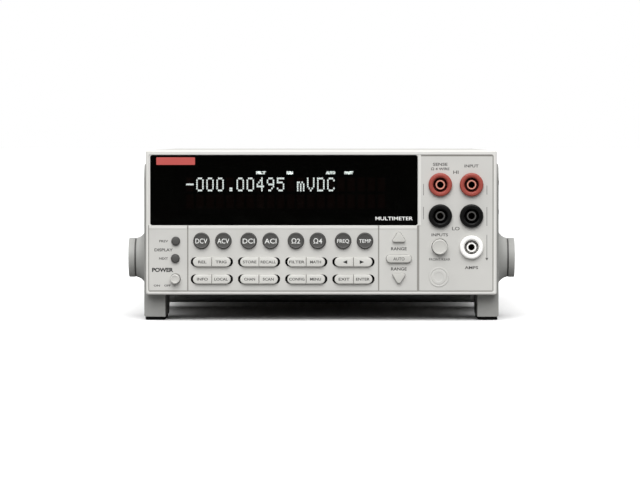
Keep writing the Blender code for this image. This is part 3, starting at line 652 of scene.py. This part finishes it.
def make_jacks():
    """Shrouded safety jacks with plated contact cups inside, the cups' metal darkened with painted shade.
    """
    for node, finish in JACKS.items():
        x, z = spot_of(node)
        low, high = corners(node)
        body = node if node in frame["bodies"] else METER
        front, back = low.y, high.y
        inner = front + 1.0
        floor = back - 2.0
        groove = FACE + 8.0
        flange = FACE + 0.1
        profile = [(0, floor), (2.0, floor), (2.0, inner), (2.9, inner), (2.9, groove), (4.4, groove)]
        profile += [(4.4, front + 0.6), (5.1, front + 0.1), (5.2, front), (6.5, front), (7.2, front + 0.75)]
        profile += [(7.2, flange), (6.0, flange), (6.0, back), (0, back)]
        turned(f"{node}_body", "Y", (x, z), eased(profile, 0.3), finish, body, [node], 64)
        # painted shade: the cup's metal is darkened so the bore looks deep in shadow
        cup = [(0, floor - 0.1), (1.95, floor - 0.1), (1.95, inner + 5.0)]
        cup += [(1.7, inner + 5.2), (1.7, floor - 1.0), (0, floor - 1.0)]
        turned(f"{node}_contact", "Y", (x, z), cup, "contact_painted_shade", body, sides=32)
        bm = bmesh.new()
        mouth = [(2.05, inner + 0.3), (2.05, inner - 0.02), (2.15, inner - 0.12)]
        mouth += [(2.75, inner - 0.12), (2.85, inner), (2.85, inner + 0.3)]
        turned_ring(bm, "Y", (x, z), mouth, 40)
        piece(f"{node}_mouth", bm, SLEEVES[finish], body)


def make_cal_port():
    """Blank cover over the calibration port."""
    plug = "cal_port_plug"
    low, high = corners(plug)
    front = low.y + 0.35
    profile = [(0, front + 0.12), (2.7, front + 0.12), (2.9, front), (4.5, front), (4.6, front + 0.2)]
    profile += [(4.9, front + 0.2), (5.0, front), (5.9, front), (6.1, front + 0.15)]
    profile += [(6.1, FACE + 0.1), (4.8, FACE + 0.1), (4.8, high.y), (0, high.y)]
    turned("cal_port_cover", "Y", spot_of(plug), eased(profile, 0.06, 2), "overlay_print", METER, [plug])


def make_overlays():
    """Printed film set into the bezel's recess: four parts, grey strips of painted shade in the grooves
    round them, and light lips.
    """
    low_z, high_z, top_z = 18.55, 56.2, 100.4
    left, right = -105.1, 104.4
    first, second = -81.5, 34.95
    gap = 0.8
    divider = (58.35, 59.75)
    power_holes = [circle(spot_of(node), SMALL_KEY_R + 0.15) for node in ("key_prev", "key_next")]
    power_x, power_z = spot_of("power_button")
    power_holes.append(circle((power_x + 0.15, power_z + 0.05), 3.3))
    key_holes = [circle(spot_of(node), ROUND_KEY_R + 0.25) for node in ROUND_KEYS]
    slot = pill(SLOT_HALF_LENGTH, PILL_R + 0.05)
    key_holes += [shifted(slot, *pair_centre(pair)) for pair in KEY_PAIRS]
    up = offset(blunted(TRIANGLE, 0.9), -0.15)
    up_low, down_low = corners("key_range_up")[0], corners("key_range_down")[0]
    range_x = centre("key_auto").x
    range_holes = [shifted(pill(7.9, 2.6), *spot_of("key_auto"))]
    range_holes.append(shifted(up, range_x, up_low.z + 2.9))
    range_holes.append(shifted([(-u, -v) for u, v in up], range_x, down_low.z + 3.1))
    input_holes = [circle(spot_of(node), 6.4) for node in JACKS]
    switch_x, switch_z = spot_of("input_switch_button")
    input_holes.append(circle((switch_x - 0.4, switch_z + 0.25), 5.25))
    input_holes.append(circle(spot_of("cal_port_plug"), 5.2))
    lower_panels = (
        ("overlay_power", left, first - gap / 2, power_holes),
        ("overlay_keys", first + gap / 2, second - gap / 2, key_holes),
        ("overlay_range", second + gap / 2, divider[0], range_holes),
    )
    lips = bmesh.new()
    thickness = OVERLAY_BACK - OVERLAY_FRONT
    for name, x0, x1, holes in lower_panels:
        edge = rounded(x0, x1, low_z, high_z, 0.2, 2)
        flat_shape(name, [edge, *holes], OVERLAY_FRONT, thickness, "overlay_print")
        lip = rounded(x0, x1, high_z + 0.02, WINDOW_Z[0] - 0.1, 0.3, 2)
        raised = [(offset(lip, 0.12), FACE + 0.06), (lip, FACE + 0.18), (lip, OVERLAY_BACK)]
        loft(lips, "Y", raised)
    edge = rounded(divider[1], right, low_z, top_z, 0.3, 3)
    flat_shape("overlay_inputs", [edge, *input_holes], OVERLAY_FRONT, thickness, "overlay_print")
    rib = rounded(WINDOW_X[1] + 0.35, WINDOW_X[1] + 2.0, WINDOW_Z[0], BEZEL_HIGH.z - 2.7, 0.3, 2)
    loft(lips, "Y", [(offset(rib, 0.12), FACE + 0.06), (rib, FACE + 0.16), (rib, OVERLAY_FRONT - 0.01)])
    piece("overlay_lips", lips, "bezel_plastic")
    # painted shade: grey strips on the recess floor, in the gaps and along the input panel's top, stand in
    # for the grooves' shadow
    shade = bmesh.new()
    seat = (OVERLAY_BACK - 0.05, OVERLAY_BACK)
    recess_right, recess_low, recess_high = 105.0, 17.8, 101.5
    for x in (first, second):
        box(shade, x - gap, x + gap, *seat, recess_low, WINDOW_Z[0] - 0.1)
    box(shade, divider[0] - 0.3, divider[1] + 0.3, *seat, recess_low, WINDOW_Z[0] - 0.1)
    box(shade, divider[1] + 0.4, recess_right, *seat, top_z - 0.3, recess_high)
    box(shade, right - 0.3, recess_right, *seat, recess_low, top_z - 0.31)
    box(shade, -105.6, left + 0.2, *seat, recess_low, WINDOW_Z[0])
    for x0, x1 in ((left + 0.21, first - gap - 0.01), (first + gap + 0.01, second - gap - 0.01)):
        box(shade, x0, x1, *seat, recess_low, low_z + 0.3)
    box(shade, second + gap + 0.01, divider[0] - 0.31, *seat, recess_low, low_z + 0.3)
    box(shade, divider[1] + 0.31, right - 0.31, *seat, recess_low, low_z + 0.3)
    piece("overlay_painted_shade", shade, "painted_shade_grey")


def make_panel_printing():
    bm = bmesh.new()
    prev_x, prev_z = spot_of("key_prev")
    next_x, next_z = spot_of("key_next")
    text_into(bm, "PREV", prev_x - 7.4, prev_z, 1.4, 5.4, bold=0.02)
    text_into(bm, "NEXT", next_x - 7.2, next_z, 1.4, 5.4, bold=0.025)
    text_into(bm, "DISPLAY", prev_x - 7.4, (prev_z + next_z) / 2, 1.8, 11.2, bold=0.025)
    auto_x, auto_z = spot_of("key_auto")
    for z in (auto_z + 6.1, auto_z - 6.2):
        text_into(bm, "RANGE", auto_x, z, 1.9, 9.6, bold=0.025)
    sense_x, hi_z = spot_of("jack_sense_hi")
    input_x, lo_z = spot_of("jack_input_lo")
    middle_x = (sense_x + input_x) / 2
    text_into(bm, "SENSE", sense_x, hi_z + 12.5, 1.8, 8.9, bold=0.02)
    text_into(bm, "Ω 4 WIRE", sense_x, hi_z + 9.7, 1.6, 11.2, bold=0.02)
    text_into(bm, "INPUT", input_x, hi_z + 11.5, 1.8, 8.6, bold=0.02)
    text_into(bm, "HI", middle_x, hi_z + 7.7, 2.1, 3.2, bold=0.015)
    text_into(bm, "LO", middle_x, lo_z - 7.6, 2.1, 4.6, bold=0.015)
    switch_x, switch_z = spot_of("input_switch_button")
    text_into(bm, "INPUTS", switch_x, switch_z + 7.4, 1.8, 10.0, bold=0.02)
    text_into(bm, "FRONT/REAR", switch_x, switch_z - 7.6, 1.6, 13.0, bold=0.01)
    amps_x, amps_z = spot_of("amps_fuse_jack")
    text_into(bm, "AMPS", amps_x, amps_z - 12.4, 1.8, 8.2, bold=0.02)
    left_x, right_x = sense_x - 10.2, input_x + 9.4
    for x, z0, z1 in (
        (left_x, hi_z - 6.5, hi_z + 0.5),
        (left_x, lo_z - 2.0, lo_z + 5.5),
        (right_x, hi_z - 6.0, hi_z - 0.5),
        (right_x, lo_z - 6.0, lo_z + 5.5),
        (right_x, amps_z - 6.5, amps_z + 7.5),
    ):
        box(bm, x - 0.14, x + 0.14, OVERLAY_FRONT - 0.02, OVERLAY_FRONT - 0.002, z0, z1)
    tip = [(right_x - 0.9, amps_z - 6.51), (right_x, amps_z - 8.2), (right_x + 0.9, amps_z - 6.51)]
    prism(bm, "Y", tip, OVERLAY_FRONT - 0.02, OVERLAY_FRONT - 0.002)
    power_x, power_z = spot_of("power_button")
    text_into(bm, "ON", power_x - 11.2, power_z - 4.0, 1.2, 3.8, bold=0.025)
    text_into(bm, "OFF", power_x - 4.7, power_z - 4.0, 1.2, 3.9, bold=0.025)
    piece("panel_printing", bm, "ink_dark")
    bm = bmesh.new()
    text_into(bm, "POWER", power_x - 7.6, power_z + 5.6, 2.4, 13.0, bold=0.045)
    piece("power_printing", bm, "ink_black")


# Display

GLYPHS = {
    "-": ("00000", "00000", "00000", "11111", "00000", "00000", "00000"),
    "0": ("01110", "10001", "10001", "10001", "10001", "10001", "01110"),
    ".": ("00000", "00000", "00000", "00000", "00000", "00110", "00110"),
    "4": ("00010", "00110", "01010", "10010", "11111", "00010", "00010"),
    "9": ("01110", "10001", "10001", "01111", "00001", "00010", "01100"),
    "5": ("11111", "10000", "11110", "00001", "00001", "10001", "01110"),
    " ": ("00000",) * 7,
    "m": ("00000", "00000", "11010", "10101", "10101", "10101", "10101"),
    "V": ("10001", "10001", "10001", "10001", "10001", "01010", "00100"),
    "D": ("11110", "10001", "10001", "10001", "10001", "10001", "11110"),
    "C": ("01110", "10001", "10000", "10000", "10000", "10001", "01110"),
}
READING = "-000.00495 mVDC"
CELLS = 20
CELL_PITCH = 6.16
FIRST_CELL_X = -80.4
TOP_ROW_Z = 83.2
LOW_ROW_Z = 72.8
DOT_PITCH = (0.91, 1.22)
DOT_SIZE = (0.8, 1.08)
ANNUNCIATOR_Z = 90.4
MASK_HOLE = (54.0, 61.5, 97.0)  # right, bottom and top of the opening over the tube
BADGE = (-100.6, -77.0, 95.2, 99.8)  # left, right, bottom and top
KIND_SPOT = (44.4, 62.6)  # x and z of the name of the kind of instrument
ANNUNCIATORS = (  # words, x and width
    ("FILT", -36.9, 6.0),
    ("REM", -19.3, 4.0),
    ("AUTO", 5.6, 5.9),
    ("FAST", 16.8, 5.4),
)


def dots(bm, x, z, rows, y, lit):
    """Dots of one 5 by 7 cell that are lit, or those that aren't."""
    for row, line in enumerate(rows):
        for column, state in enumerate(line):
            if (state == "1") != lit:
                continue
            dot_x = x + (column - 2) * DOT_PITCH[0]
            dot_z = z + (3 - row) * DOT_PITCH[1]
            half_x, half_z = DOT_SIZE[0] / 2, DOT_SIZE[1] / 2
            box(bm, dot_x - half_x, dot_x + half_x, y - 0.05, y, dot_z - half_z, dot_z + half_z)


def make_display():
    """Lit and unlit dots on the tube, the unlit ones with a faint painted glow, the mask round it, and what
    is on the window.
    """
    tube_low = corners("display_tube")[0]
    y = tube_low.y - 0.02
    lit = bmesh.new()
    unlit = bmesh.new()
    for cell in range(CELLS):
        x = FIRST_CELL_X + CELL_PITCH * cell
        glyph = GLYPHS[READING[cell]] if cell < len(READING) else GLYPHS[" "]
        dots(lit, x, TOP_ROW_Z, glyph, y, True)
        dots(unlit, x, TOP_ROW_Z, glyph, y, False)
    for words, x, width in ANNUNCIATORS:
        text_into(lit, words, x, ANNUNCIATOR_Z, 1.6, width, y - 0.03, 0.085)
    for cell in range(CELLS):
        dots(unlit, FIRST_CELL_X + CELL_PITCH * cell, LOW_ROW_Z, GLYPHS[" "], y, False)
    piece("display_reading", lit, "display_glow")
    # painted glow: the unlit dots shine faintly though they are not lit
    piece("display_unlit_dots", unlit, "unlit_dots_painted_glow")
    outer = rounded(WINDOW_X[0] + 0.1, WINDOW_X[1] + 0.5, WINDOW_Z[0] - 0.5, WINDOW_Z[1] - 0.1, 0.5)
    inner = rounded(tube_low.x + 2.0, *MASK_HOLE, 1.5)
    flat_shape("display_mask", [outer, inner[::-1]], tube_low.y - 1.2, 0.8, "black_plastic", ease=0.1)
    lens_front = LENS_LOW.y
    flat_shape("red_badge", [rounded(*BADGE, 0.4)], lens_front - 0.12, 0.1, "badge_red", ease=0.03)
    bm = bmesh.new()
    text_into(bm, "MULTIMETER", *KIND_SPOT, 2.2, 22.8, lens_front - 0.012, 0.01)
    piece("window_printing", bm, "ink_white")


# Handle, hubs and screws

SWING = next(joint for joint in frame["joints"] if joint["name"] == "handle_swing")
PIVOT = (SWING["pos_m"][1] / MM, SWING["pos_m"][2] / MM)  # y, z
HANDLE_DROP = math.radians(11.7)
HANDLE_REACH = 140.0
HANDLE_SIDE_X = corners("carry_handle")[1].x
HUB_R = 12.2
HUB_FACE_X = 115.0
DISC_INNER_X = HUB_FACE_X + 1.0
ARM_CENTRE_X = 110.3
EAR_OUTER_X = 108.6
PIN_R = 5.0  # pivot pin between hub and disc
PIN_BORE_R = 5.4
PIN_END_X = 110.4
PIN_BORE_END_X = 113.0
HUB_FLARE = [(17.8, 108.65), (16.9, 109.2), (15.7, 110.1), (14.4, 111.2), (13.3, 112.3), (12.6, 113.6)]


def handle_stations():
    """Right half of the bail, pivot to middle: x, reach, normal, half thickness, half width."""
    root, arm, grip = 1.7, 1.1, 5.2
    root_x = HANDLE_SIDE_X - root - 0.2
    outer_x = ARM_CENTRE_X + arm
    bend = 14.0
    top = HANDLE_REACH + grip - bend
    jog_start, jog_end = 12.5, 20.5
    stations = [(root_x, 0.0, (1.0, 0.0), root, 8.5)]
    steps = 16
    for step in range(steps + 1):
        share = step / steps
        smooth = share**2 * (3 - 2 * share)
        slope = 6 * share * (1 - share) * (root_x - ARM_CENTRE_X) / (jog_end - jog_start)
        normal = Vector((1.0, slope)).normalized()
        x = root_x + (ARM_CENTRE_X - root_x) * smooth
        half = root + (arm - root) * smooth
        reach = jog_start + (jog_end - jog_start) * share
        stations.append((x, reach, tuple(normal), half, 8.0 - 2.0 * share))
    stations.append((ARM_CENTRE_X, top, (1.0, 0.0), arm, 6.0))
    for step in range(1, steps + 1):
        share = step / steps
        angle = math.radians(90 * share)
        normal = (math.cos(angle), math.sin(angle))
        half = arm + (grip - arm) * share
        x = outer_x - bend + (bend - half) * normal[0]
        reach = top + (bend - half) * normal[1]
        stations.append((x, reach, normal, half, 6.0 - 0.5 * share))
    return stations


def handle_section(station, mirror):
    """Rounded section of the bail, square to its path."""
    x, reach, normal, half, width = station
    outline = rounded(-half, half, -width, width, 0.55 * min(half, width), 5)
    along = Vector((0, math.cos(HANDLE_DROP), -math.sin(HANDLE_DROP)))
    square = Vector((0, math.sin(HANDLE_DROP), math.cos(HANDLE_DROP)))
    pivot = Vector((0, *PIVOT))
    points = []
    for p, q in outline:
        sideways = mirror * (x + p * normal[0])
        points.append(pivot + Vector((sideways, 0, 0)) + along * (reach + p * normal[1]) + square * q)
    return points


def make_handle():
    stations = handle_stations()
    right = [handle_section(station, 1) for station in stations]
    left = [handle_section(station, -1) for station in stations]
    bm = bmesh.new()
    skin(bm, right + left[::-1])
    disc = [(0, PIN_END_X), (PIN_R, PIN_END_X), (PIN_R, DISC_INNER_X), (HUB_R, DISC_INNER_X)]
    disc += [(HUB_R, HANDLE_SIDE_X - 0.3), (HUB_R - 0.3, HANDLE_SIDE_X), (HUB_R - 1.6, HANDLE_SIDE_X)]
    disc += [(HUB_R - 2.0, HANDLE_SIDE_X - 0.4), (PIN_R, HANDLE_SIDE_X - 0.4)]
    disc += [(4.7, HANDLE_SIDE_X - 0.1), (0, HANDLE_SIDE_X - 0.1)]
    for side in (-1, 1):
        profile = [(radius, side * x) for radius, x in eased(disc, 0.15)]
        lathe(bm, "X", PIVOT, profile, 72)
    piece("bail_handle", bm, "handle_plastic", "carry_handle", ["carry_handle"])
    for side, label in ((-1, "left"), (1, "right")):
        profile = [(0, 108.3), (18.2, 108.3), *HUB_FLARE, (HUB_R + 0.06, HUB_FACE_X - 0.1)]
        profile += [(HUB_R - 0.1, HUB_FACE_X + 0.02), (PIN_BORE_R, HUB_FACE_X + 0.02)]
        profile += [(PIN_BORE_R, PIN_BORE_END_X), (0, PIN_BORE_END_X)]
        profile = [(radius, side * x) for radius, x in profile]
        turned(f"hub_{label}", "X", PIVOT, profile, "handle_plastic", sides=72)
        washer = [(5.6, HUB_FACE_X + 0.08), (HUB_R - 0.25, HUB_FACE_X + 0.08)]
        washer += [(HUB_R - 0.25, DISC_INNER_X - 0.08), (5.6, DISC_INNER_X - 0.08)]
        bm = bmesh.new()
        turned_ring(bm, "X", PIVOT, [(radius, side * x) for radius, x in washer], 64)
        piece(f"hub_washer_{label}", bm, "dark_key")


CASE_SCREWS = [(146.0, 40.0), (146.0, 84.0)]  # y, z on each side
EAR_SCREWS = [(-150.0, 84.0), (-150.0, 66.0)]
BOTTOM_SCREWS = [(x, y) for x in (-70.0, 70.0) for y in (-90.0, 120.0)]
VENT_SCREEN = (66.0, 140.0, 61.0, 93.0)  # y and z limits
VENT_SCREEN_X = (104.6, 105.2)
OPTION_COVER = (4.0, 52.0, 54.0, 96.0)  # x and z limits
OPTION_SCREWS = [(8.0, 75.0), (48.0, 75.0)]
TRIGGER_SPOTS = {"trigger_socket": (44.0, 43.0), "complete_socket": (44.0, 26.5)}  # x, z
LINK_SPOTS = {"link_socket_a": (-86.0, 80.0), "link_socket_b": (-66.0, 80.0)}
EARTH_SPOT = (-96.0, 66.0)


def screws(name, axis, spots, seat, out, radius=2.6):
    """Button-head screws with a hexagonal socket; out is 1 or -1 along the axis."""
    heads = bmesh.new()
    sockets = bmesh.new()
    dome = [(0, 0.0), (1.0, 0.0), (1.0, 0.25), (0.8, 0.85), (0.5, 1.1), (0, 1.12)]
    profile = [(share * radius, seat + out * height) for share, height in dome]
    for middle in spots:
        lathe(heads, axis, middle, profile, 32)
        hexagon = circle(middle, 0.42 * radius, 6)
        prism(sockets, axis, hexagon, seat + out * 0.9, seat + out * 1.135)
    piece(f"{name}_heads", heads, "screw_steel")
    piece(f"{name}_sockets", sockets, "black_plastic")


def make_screws():
    panel_y = corners("chassis")[1].y
    rear = [(side * 97.5, z) for side in (-1, 1) for z in (26.0, 94.5)] + [(-46.0, 26.0), (55.0, 26.0)]
    screws("panel_screws", "Y", rear, panel_y, 1, 2.4)
    fan_x, fan_z = spot_of("fan_housing")
    fan = [(fan_x + 16.0 * i, fan_z + 16.0 * j) for i in (-1, 1) for j in (-1, 1)]
    screws("fan_screws", "Y", fan, panel_y, 1, 1.7)
    inlet_x, inlet_z = (corners("power_inlet")[0].x + 3.2, centre("power_inlet").z)
    inlet_face = corners("power_inlet")[1].y
    screws("inlet_screws", "Y", [(inlet_x, inlet_z), (inlet_x + 45.9, inlet_z)], inlet_face, 1, 1.5)
    for side, label in ((-1, "left"), (1, "right")):
        case_side = corners("case_cover")[1].x
        screws(f"case_screws_{label}", "X", CASE_SCREWS, side * case_side, side, 2.2)
        seat = side * (EAR_OUTER_X - 0.05)
        screws(f"ear_screws_{label}", "X", EAR_SCREWS, seat, side, 2.4)
        bm = bmesh.new()
        prism(bm, "X", rounded(*VENT_SCREEN, 2.0), *(side * x for x in VENT_SCREEN_X))
        round_edges(piece(f"vent_screen_{label}", bm, "black_plastic"), 0.15)
    bottom = corners("case_cover")[0].z
    screws("bottom_screws", "Z", BOTTOM_SCREWS, bottom, -1, 2.4)


# Rear panel


def make_rear_jacks():
    """Coloured rings on the bosses of the rear input block."""
    x, z = spot_of("rear_jack_block")
    face = corners("rear_jack_block")[1].y
    pitch = 19.05
    profile = [(2.05, face - 2.6), (6.5, face - 2.6), (6.5, face - 0.4), (6.1, face + 0.1)]
    profile += [(4.4, face + 0.1), (4.2, face + 0.04), (3.1, face + 0.04)]
    profile += [(2.9, face + 0.1), (2.05, face + 0.1)]
    layout = [(side, row) for row in (1, 0, -1) for side in (-1, 1)][:5]
    finishes = ("red_jack", "red_jack", "black_jack", "black_jack", "white_jack")
    for i, ((side, row), finish) in enumerate(zip(layout, finishes)):
        bm = bmesh.new()
        turned_ring(bm, "Y", (x + side * pitch / 2, z + row * pitch), profile)
        piece(f"rear_jack_ring_{i}", bm, finish)
    words = bmesh.new()
    plate = corners("rear_jack_block")[0].y + 16.55
    for row, word in ((1, "HI"), (0, "LO"), (-1, "AMPS")):
        text_into(words, word, x + (0.0 if row >= 0 else 8.5), z + row * pitch, 2.0, None, plate, 0.01, 1)
    text_into(words, "SENSE", x + pitch / 2, z + 27.0, 1.7, 8.0, plate, 0.01, 1)
    text_into(words, "INPUT", x - pitch / 2, z + 27.0, 1.7, 8.0, plate, 0.01, 1)
    piece("rear_jack_printing", words, "ink_white")


def bayonet_socket(name, middle, seat):
    """Coaxial socket: hexagonal nut, threaded barrel with two bayonet studs, and a core."""
    metal = bmesh.new()
    prism(metal, "Y", circle(middle, 7.6, 6), seat, seat + 2.2)
    barrel = [(0, seat + 2.2), (5.6, seat + 2.2), (5.6, seat + 5.0), (4.8, seat + 5.2), (4.8, seat + 13.0)]
    barrel += [(4.0, seat + 13.2), (4.0, seat + 6.0), (0, seat + 6.0)]
    lathe(metal, "Y", middle, eased(barrel, 0.2), 40)
    for side in (-1, 1):
        stud = (middle[0] + side * 5.2, seat + 10.5)
        prism(metal, "Z", circle(stud, 1.0, 16), middle[1] - 1.0, middle[1] + 1.0)
    piece(f"{name}_shell", metal, "screw_steel")
    core = [(0, seat + 6.01), (2.2, seat + 6.01), (2.2, seat + 11.0)]
    core += [(0.9, seat + 11.0), (0.9, seat + 8.0), (0, seat + 8.0)]
    turned(f"{name}_core", "Y", middle, core, "white_jack", sides=32)


def round_socket(name, middle, seat):
    """Small round multi-pin socket in a metal collar."""
    collar = [(0, seat), (7.0, seat), (7.0, seat + 1.6), (5.4, seat + 2.0)]
    collar += [(5.0, seat + 2.0), (5.0, seat + 0.6), (0, seat + 0.6)]
    turned(f"{name}_collar", "Y", middle, eased(collar, 0.25), "screw_steel")
    core = [(0, seat + 0.65), (4.7, seat + 0.65), (4.7, seat + 1.4), (0, seat + 1.4)]
    turned(f"{name}_core", "Y", middle, core, "black_plastic", sides=40)
    holes = bmesh.new()
    for k in range(8):
        angle = 2 * math.pi * k / 8 + 0.3
        pin = (middle[0] + 3.1 * math.cos(angle), middle[1] + 3.1 * math.sin(angle))
        prism(holes, "Y", circle(pin, 0.45, 12), seat + 1.3, seat + 1.43)
    piece(f"{name}_contacts", holes, "contact_metal")


def make_rear_panel():
    panel_y = corners("chassis")[1].y
    plate = bmesh.new()
    outline = rounded(*OPTION_COVER, 1.5)
    sections = [(outline, panel_y + 0.02), (outline, panel_y + 0.9), (offset(outline, 0.3), panel_y + 1.2)]
    loft(plate, "Y", sections)
    piece("option_slot_cover", plate, "sheet_steel")
    screws("option_slot", "Y", OPTION_SCREWS, panel_y + 1.2, 1, 2.6)
    for name, spot_xz in TRIGGER_SPOTS.items():
        bayonet_socket(name, spot_xz, panel_y)
    for name, spot_xz in LINK_SPOTS.items():
        round_socket(name, spot_xz, panel_y)
    stud = bmesh.new()
    prism(stud, "Y", circle(EARTH_SPOT, 3.4, 6), panel_y, panel_y + 2.0)
    thread = [(0, panel_y), (1.9, panel_y), (1.9, panel_y + 7.5), (1.5, panel_y + 8.0), (0, panel_y + 8.0)]
    lathe(stud, "Y", EARTH_SPOT, thread, 24)
    piece("earth_stud", stud, "contact_metal")
    words = bmesh.new()
    y = panel_y + 0.01
    inlet_x, inlet_z = spot_of("power_inlet")
    bus_x, bus_z = spot_of("gpib_connector")
    text_into(words, "LINE", inlet_x, inlet_z + 18.8, 2.2, 7.0, y, 0.02, 1)
    text_into(words, "INTERFACE", bus_x, bus_z - 11.0, 2.0, 15.0, y, 0.02, 1)
    text_into(words, "TRIGGER", -76.0, 91.0, 2.0, 12.0, y, 0.02, 1)
    text_into(words, "IN", 33.5, 43.0, 1.8, 2.6, y, 0.02, 1)
    text_into(words, "OUT", 33.2, 26.5, 1.8, 4.4, y, 0.02, 1)
    text_into(words, "OPTION", 28.0, 58.5, 2.0, 11.0, panel_y + 1.22, 0.02, 1)
    text_into(words, "REAR INPUTS", centre("rear_jack_block").x, 25.5, 1.8, 18.0, y, 0.02, 1)
    piece("rear_printing", words, "ink_dark")


def make_fuse():
    """Fuse with a ceramic tube and metal caps in the drawer's trough."""
    low, high = corners("fuse_drawer")
    middle = ((low.x + high.x) / 2, centre("fuse_drawer").z + 3.5)
    start, end = high.y - 22.6, high.y - 5.4
    glass = [(0, start + 3.0), (2.3, start + 3.0), (2.3, end - 3.0), (0, end - 3.0)]
    turned("fuse_glass", "Y", middle, glass, "white_jack", "fuse_drawer", sides=32)
    caps = bmesh.new()
    for a, b in ((start, start + 4.5), (end - 4.5, end)):
        profile = [(0, a), (2.5, a), (2.5, b), (0, b)]
        lathe(caps, "Y", middle, eased(profile, 0.3), 32)
    piece("fuse_caps", caps, "contact_metal", "fuse_drawer")


# Stage


def make_stage():
    world = bpy.data.worlds.new("studio")
    bpy.context.scene.world = world
    world.use_nodes = True
    tree = world.node_tree
    link = tree.links.new
    seen = tree.nodes["Background"]
    seen.inputs["Color"].default_value = (1.0, 1.0, 1.0, 1.0)
    lighting = tree.nodes.new("ShaderNodeBackground")
    lighting.inputs["Color"].default_value = (1.0, 1.0, 1.0, 1.0)
    place = tree.nodes.new("ShaderNodeTexCoord")
    parts = tree.nodes.new("ShaderNodeSeparateXYZ")
    height = tree.nodes.new("ShaderNodeMapRange")
    height.inputs["From Min"].default_value = 0.1
    height.inputs["From Max"].default_value = 0.6
    height.inputs["To Min"].default_value = 0.03
    height.inputs["To Max"].default_value = 1.0
    link(place.outputs["Generated"], parts.inputs["Vector"])
    link(parts.outputs["Z"], height.inputs["Value"])
    link(height.outputs["Result"], lighting.inputs["Strength"])
    path = tree.nodes.new("ShaderNodeLightPath")
    blend = tree.nodes.new("ShaderNodeMixShader")
    link(path.outputs["Is Camera Ray"], blend.inputs[0])
    link(lighting.outputs[0], blend.inputs[1])
    link(seen.outputs[0], blend.inputs[2])
    link(blend.outputs[0], tree.nodes["World Output"].inputs["Surface"])

    bm = bmesh.new()
    half = 30000.0
    square = ((-half, -half, 0), (half, -half, 0), (half, half, 0), (-half, half, 0))
    bm.faces.new([bm.verts.new(corner) for corner in square])
    floor = solid_object("floor", bm)
    material, tree, shader = new_material("paper_sweep")
    seen_by = tree.nodes.new("ShaderNodeLightPath")
    bounce = tree.nodes.new("ShaderNodeMapRange")
    bounce.inputs["To Min"].default_value = 0.25
    bounce.inputs["To Max"].default_value = 0.92
    tree.links.new(seen_by.outputs["Is Camera Ray"], bounce.inputs["Value"])
    tree.links.new(bounce.outputs["Result"], shader.inputs["Base Color"])
    shader.inputs["Roughness"].default_value = 0.9
    shader.inputs["Specular IOR Level"].default_value = 0.1
    floor.data.materials.append(material)

    bm = bmesh.new()
    prism(bm, "Y", [(-1500, 0), (1500, 0), (1500, 900), (-1500, 900)], FACE - 1500, FACE - 1495)
    card = solid_object("black_card", bm)
    material, _, shader = new_material("black_velvet")
    shader.inputs["Base Color"].default_value = (0.0, 0.0, 0.0, 1.0)
    shader.inputs["Specular IOR Level"].default_value = 0.0
    card.data.materials.append(material)
    card.visible_camera = False
    card.visible_diffuse = False
    card.visible_shadow = False
    card.visible_transmission = False

    suns = (("soft_overhead", 0.6, 40, (0.05, 0.15, -1.0)), ("soft_front", 2.5, 50, (0.03, 1.0, -0.8)))
    for name, energy, spread, direction in suns:
        lamp = bpy.data.lights.new(name, "SUN")
        lamp.energy = energy
        lamp.angle = math.radians(spread)
        linked(name, lamp).rotation_euler = Vector(direction).to_track_quat("-Z", "Y").to_euler()


def make_camera():
    """Eye level just above the meter's top, far off, with a long lens."""
    data = bpy.data.cameras.new("camera")
    data.lens = 203.0
    data.sensor_width = 36.0
    data.clip_end = 100.0
    camera = linked("camera", data)
    camera.location = Vector((10.0, FACE - 2200.0, 112.0)) * MM
    target = Vector((-0.8, FACE, 49.4)) * MM
    camera.rotation_euler = (target - camera.location).to_track_quat("-Z", "Y").to_euler()
    bpy.context.scene.camera = camera
    bpy.context.scene.view_settings.view_transform = "Standard"


KEPT_NODES = {
    "front_bezel": ("bezel_plastic", 0.3),
    "display_lens": ("window_acrylic", 0.0),
    "display_tube": ("tube_glass", 0.3),
    "display_board": ("board", 0.0),
    "keypad_mat": ("silicone", 0.0),
    "chassis": ("sheet_steel", 0.0),
    "case_cover": ("painted_case", 0.35),
    "main_board": ("board", 0.0),
    "transformer": ("transformer_iron", 0.5),
    "rear_bezel": ("handle_plastic", 0.6),
    "fan_housing": ("black_plastic", 0.3),
    "fan_rotor": ("black_plastic", 0.2),
    "power_inlet": ("black_plastic", 0.25),
    "fuse_drawer": ("black_plastic", 0.25),
    "mounting_ear_left": ("ear_plastic", 0.5),
    "mounting_ear_right": ("ear_plastic", 0.5),
    "rear_jack_block": ("black_plastic", 0.25),
    "gpib_connector": ("sheet_steel", 0.2),
    "front_foot_pad_left": ("rubber", 0.2),
    "front_foot_pad_right": ("rubber", 0.2),
    "rear_foot_left": ("rubber", 0.6),
    "rear_foot_right": ("rubber", 0.6),
}


def main():
    for node, (finish, width) in KEPT_NODES.items():
        keep_node(node, finish, width)
    make_round_keys()
    make_small_keys()
    make_pair_keys()
    make_range_keys()
    make_buttons()
    make_jacks()
    make_cal_port()
    make_overlays()
    make_panel_printing()
    make_display()
    make_handle()
    make_screws()
    make_rear_jacks()
    make_rear_panel()
    make_fuse()
    make_stage()
    make_camera()


main()
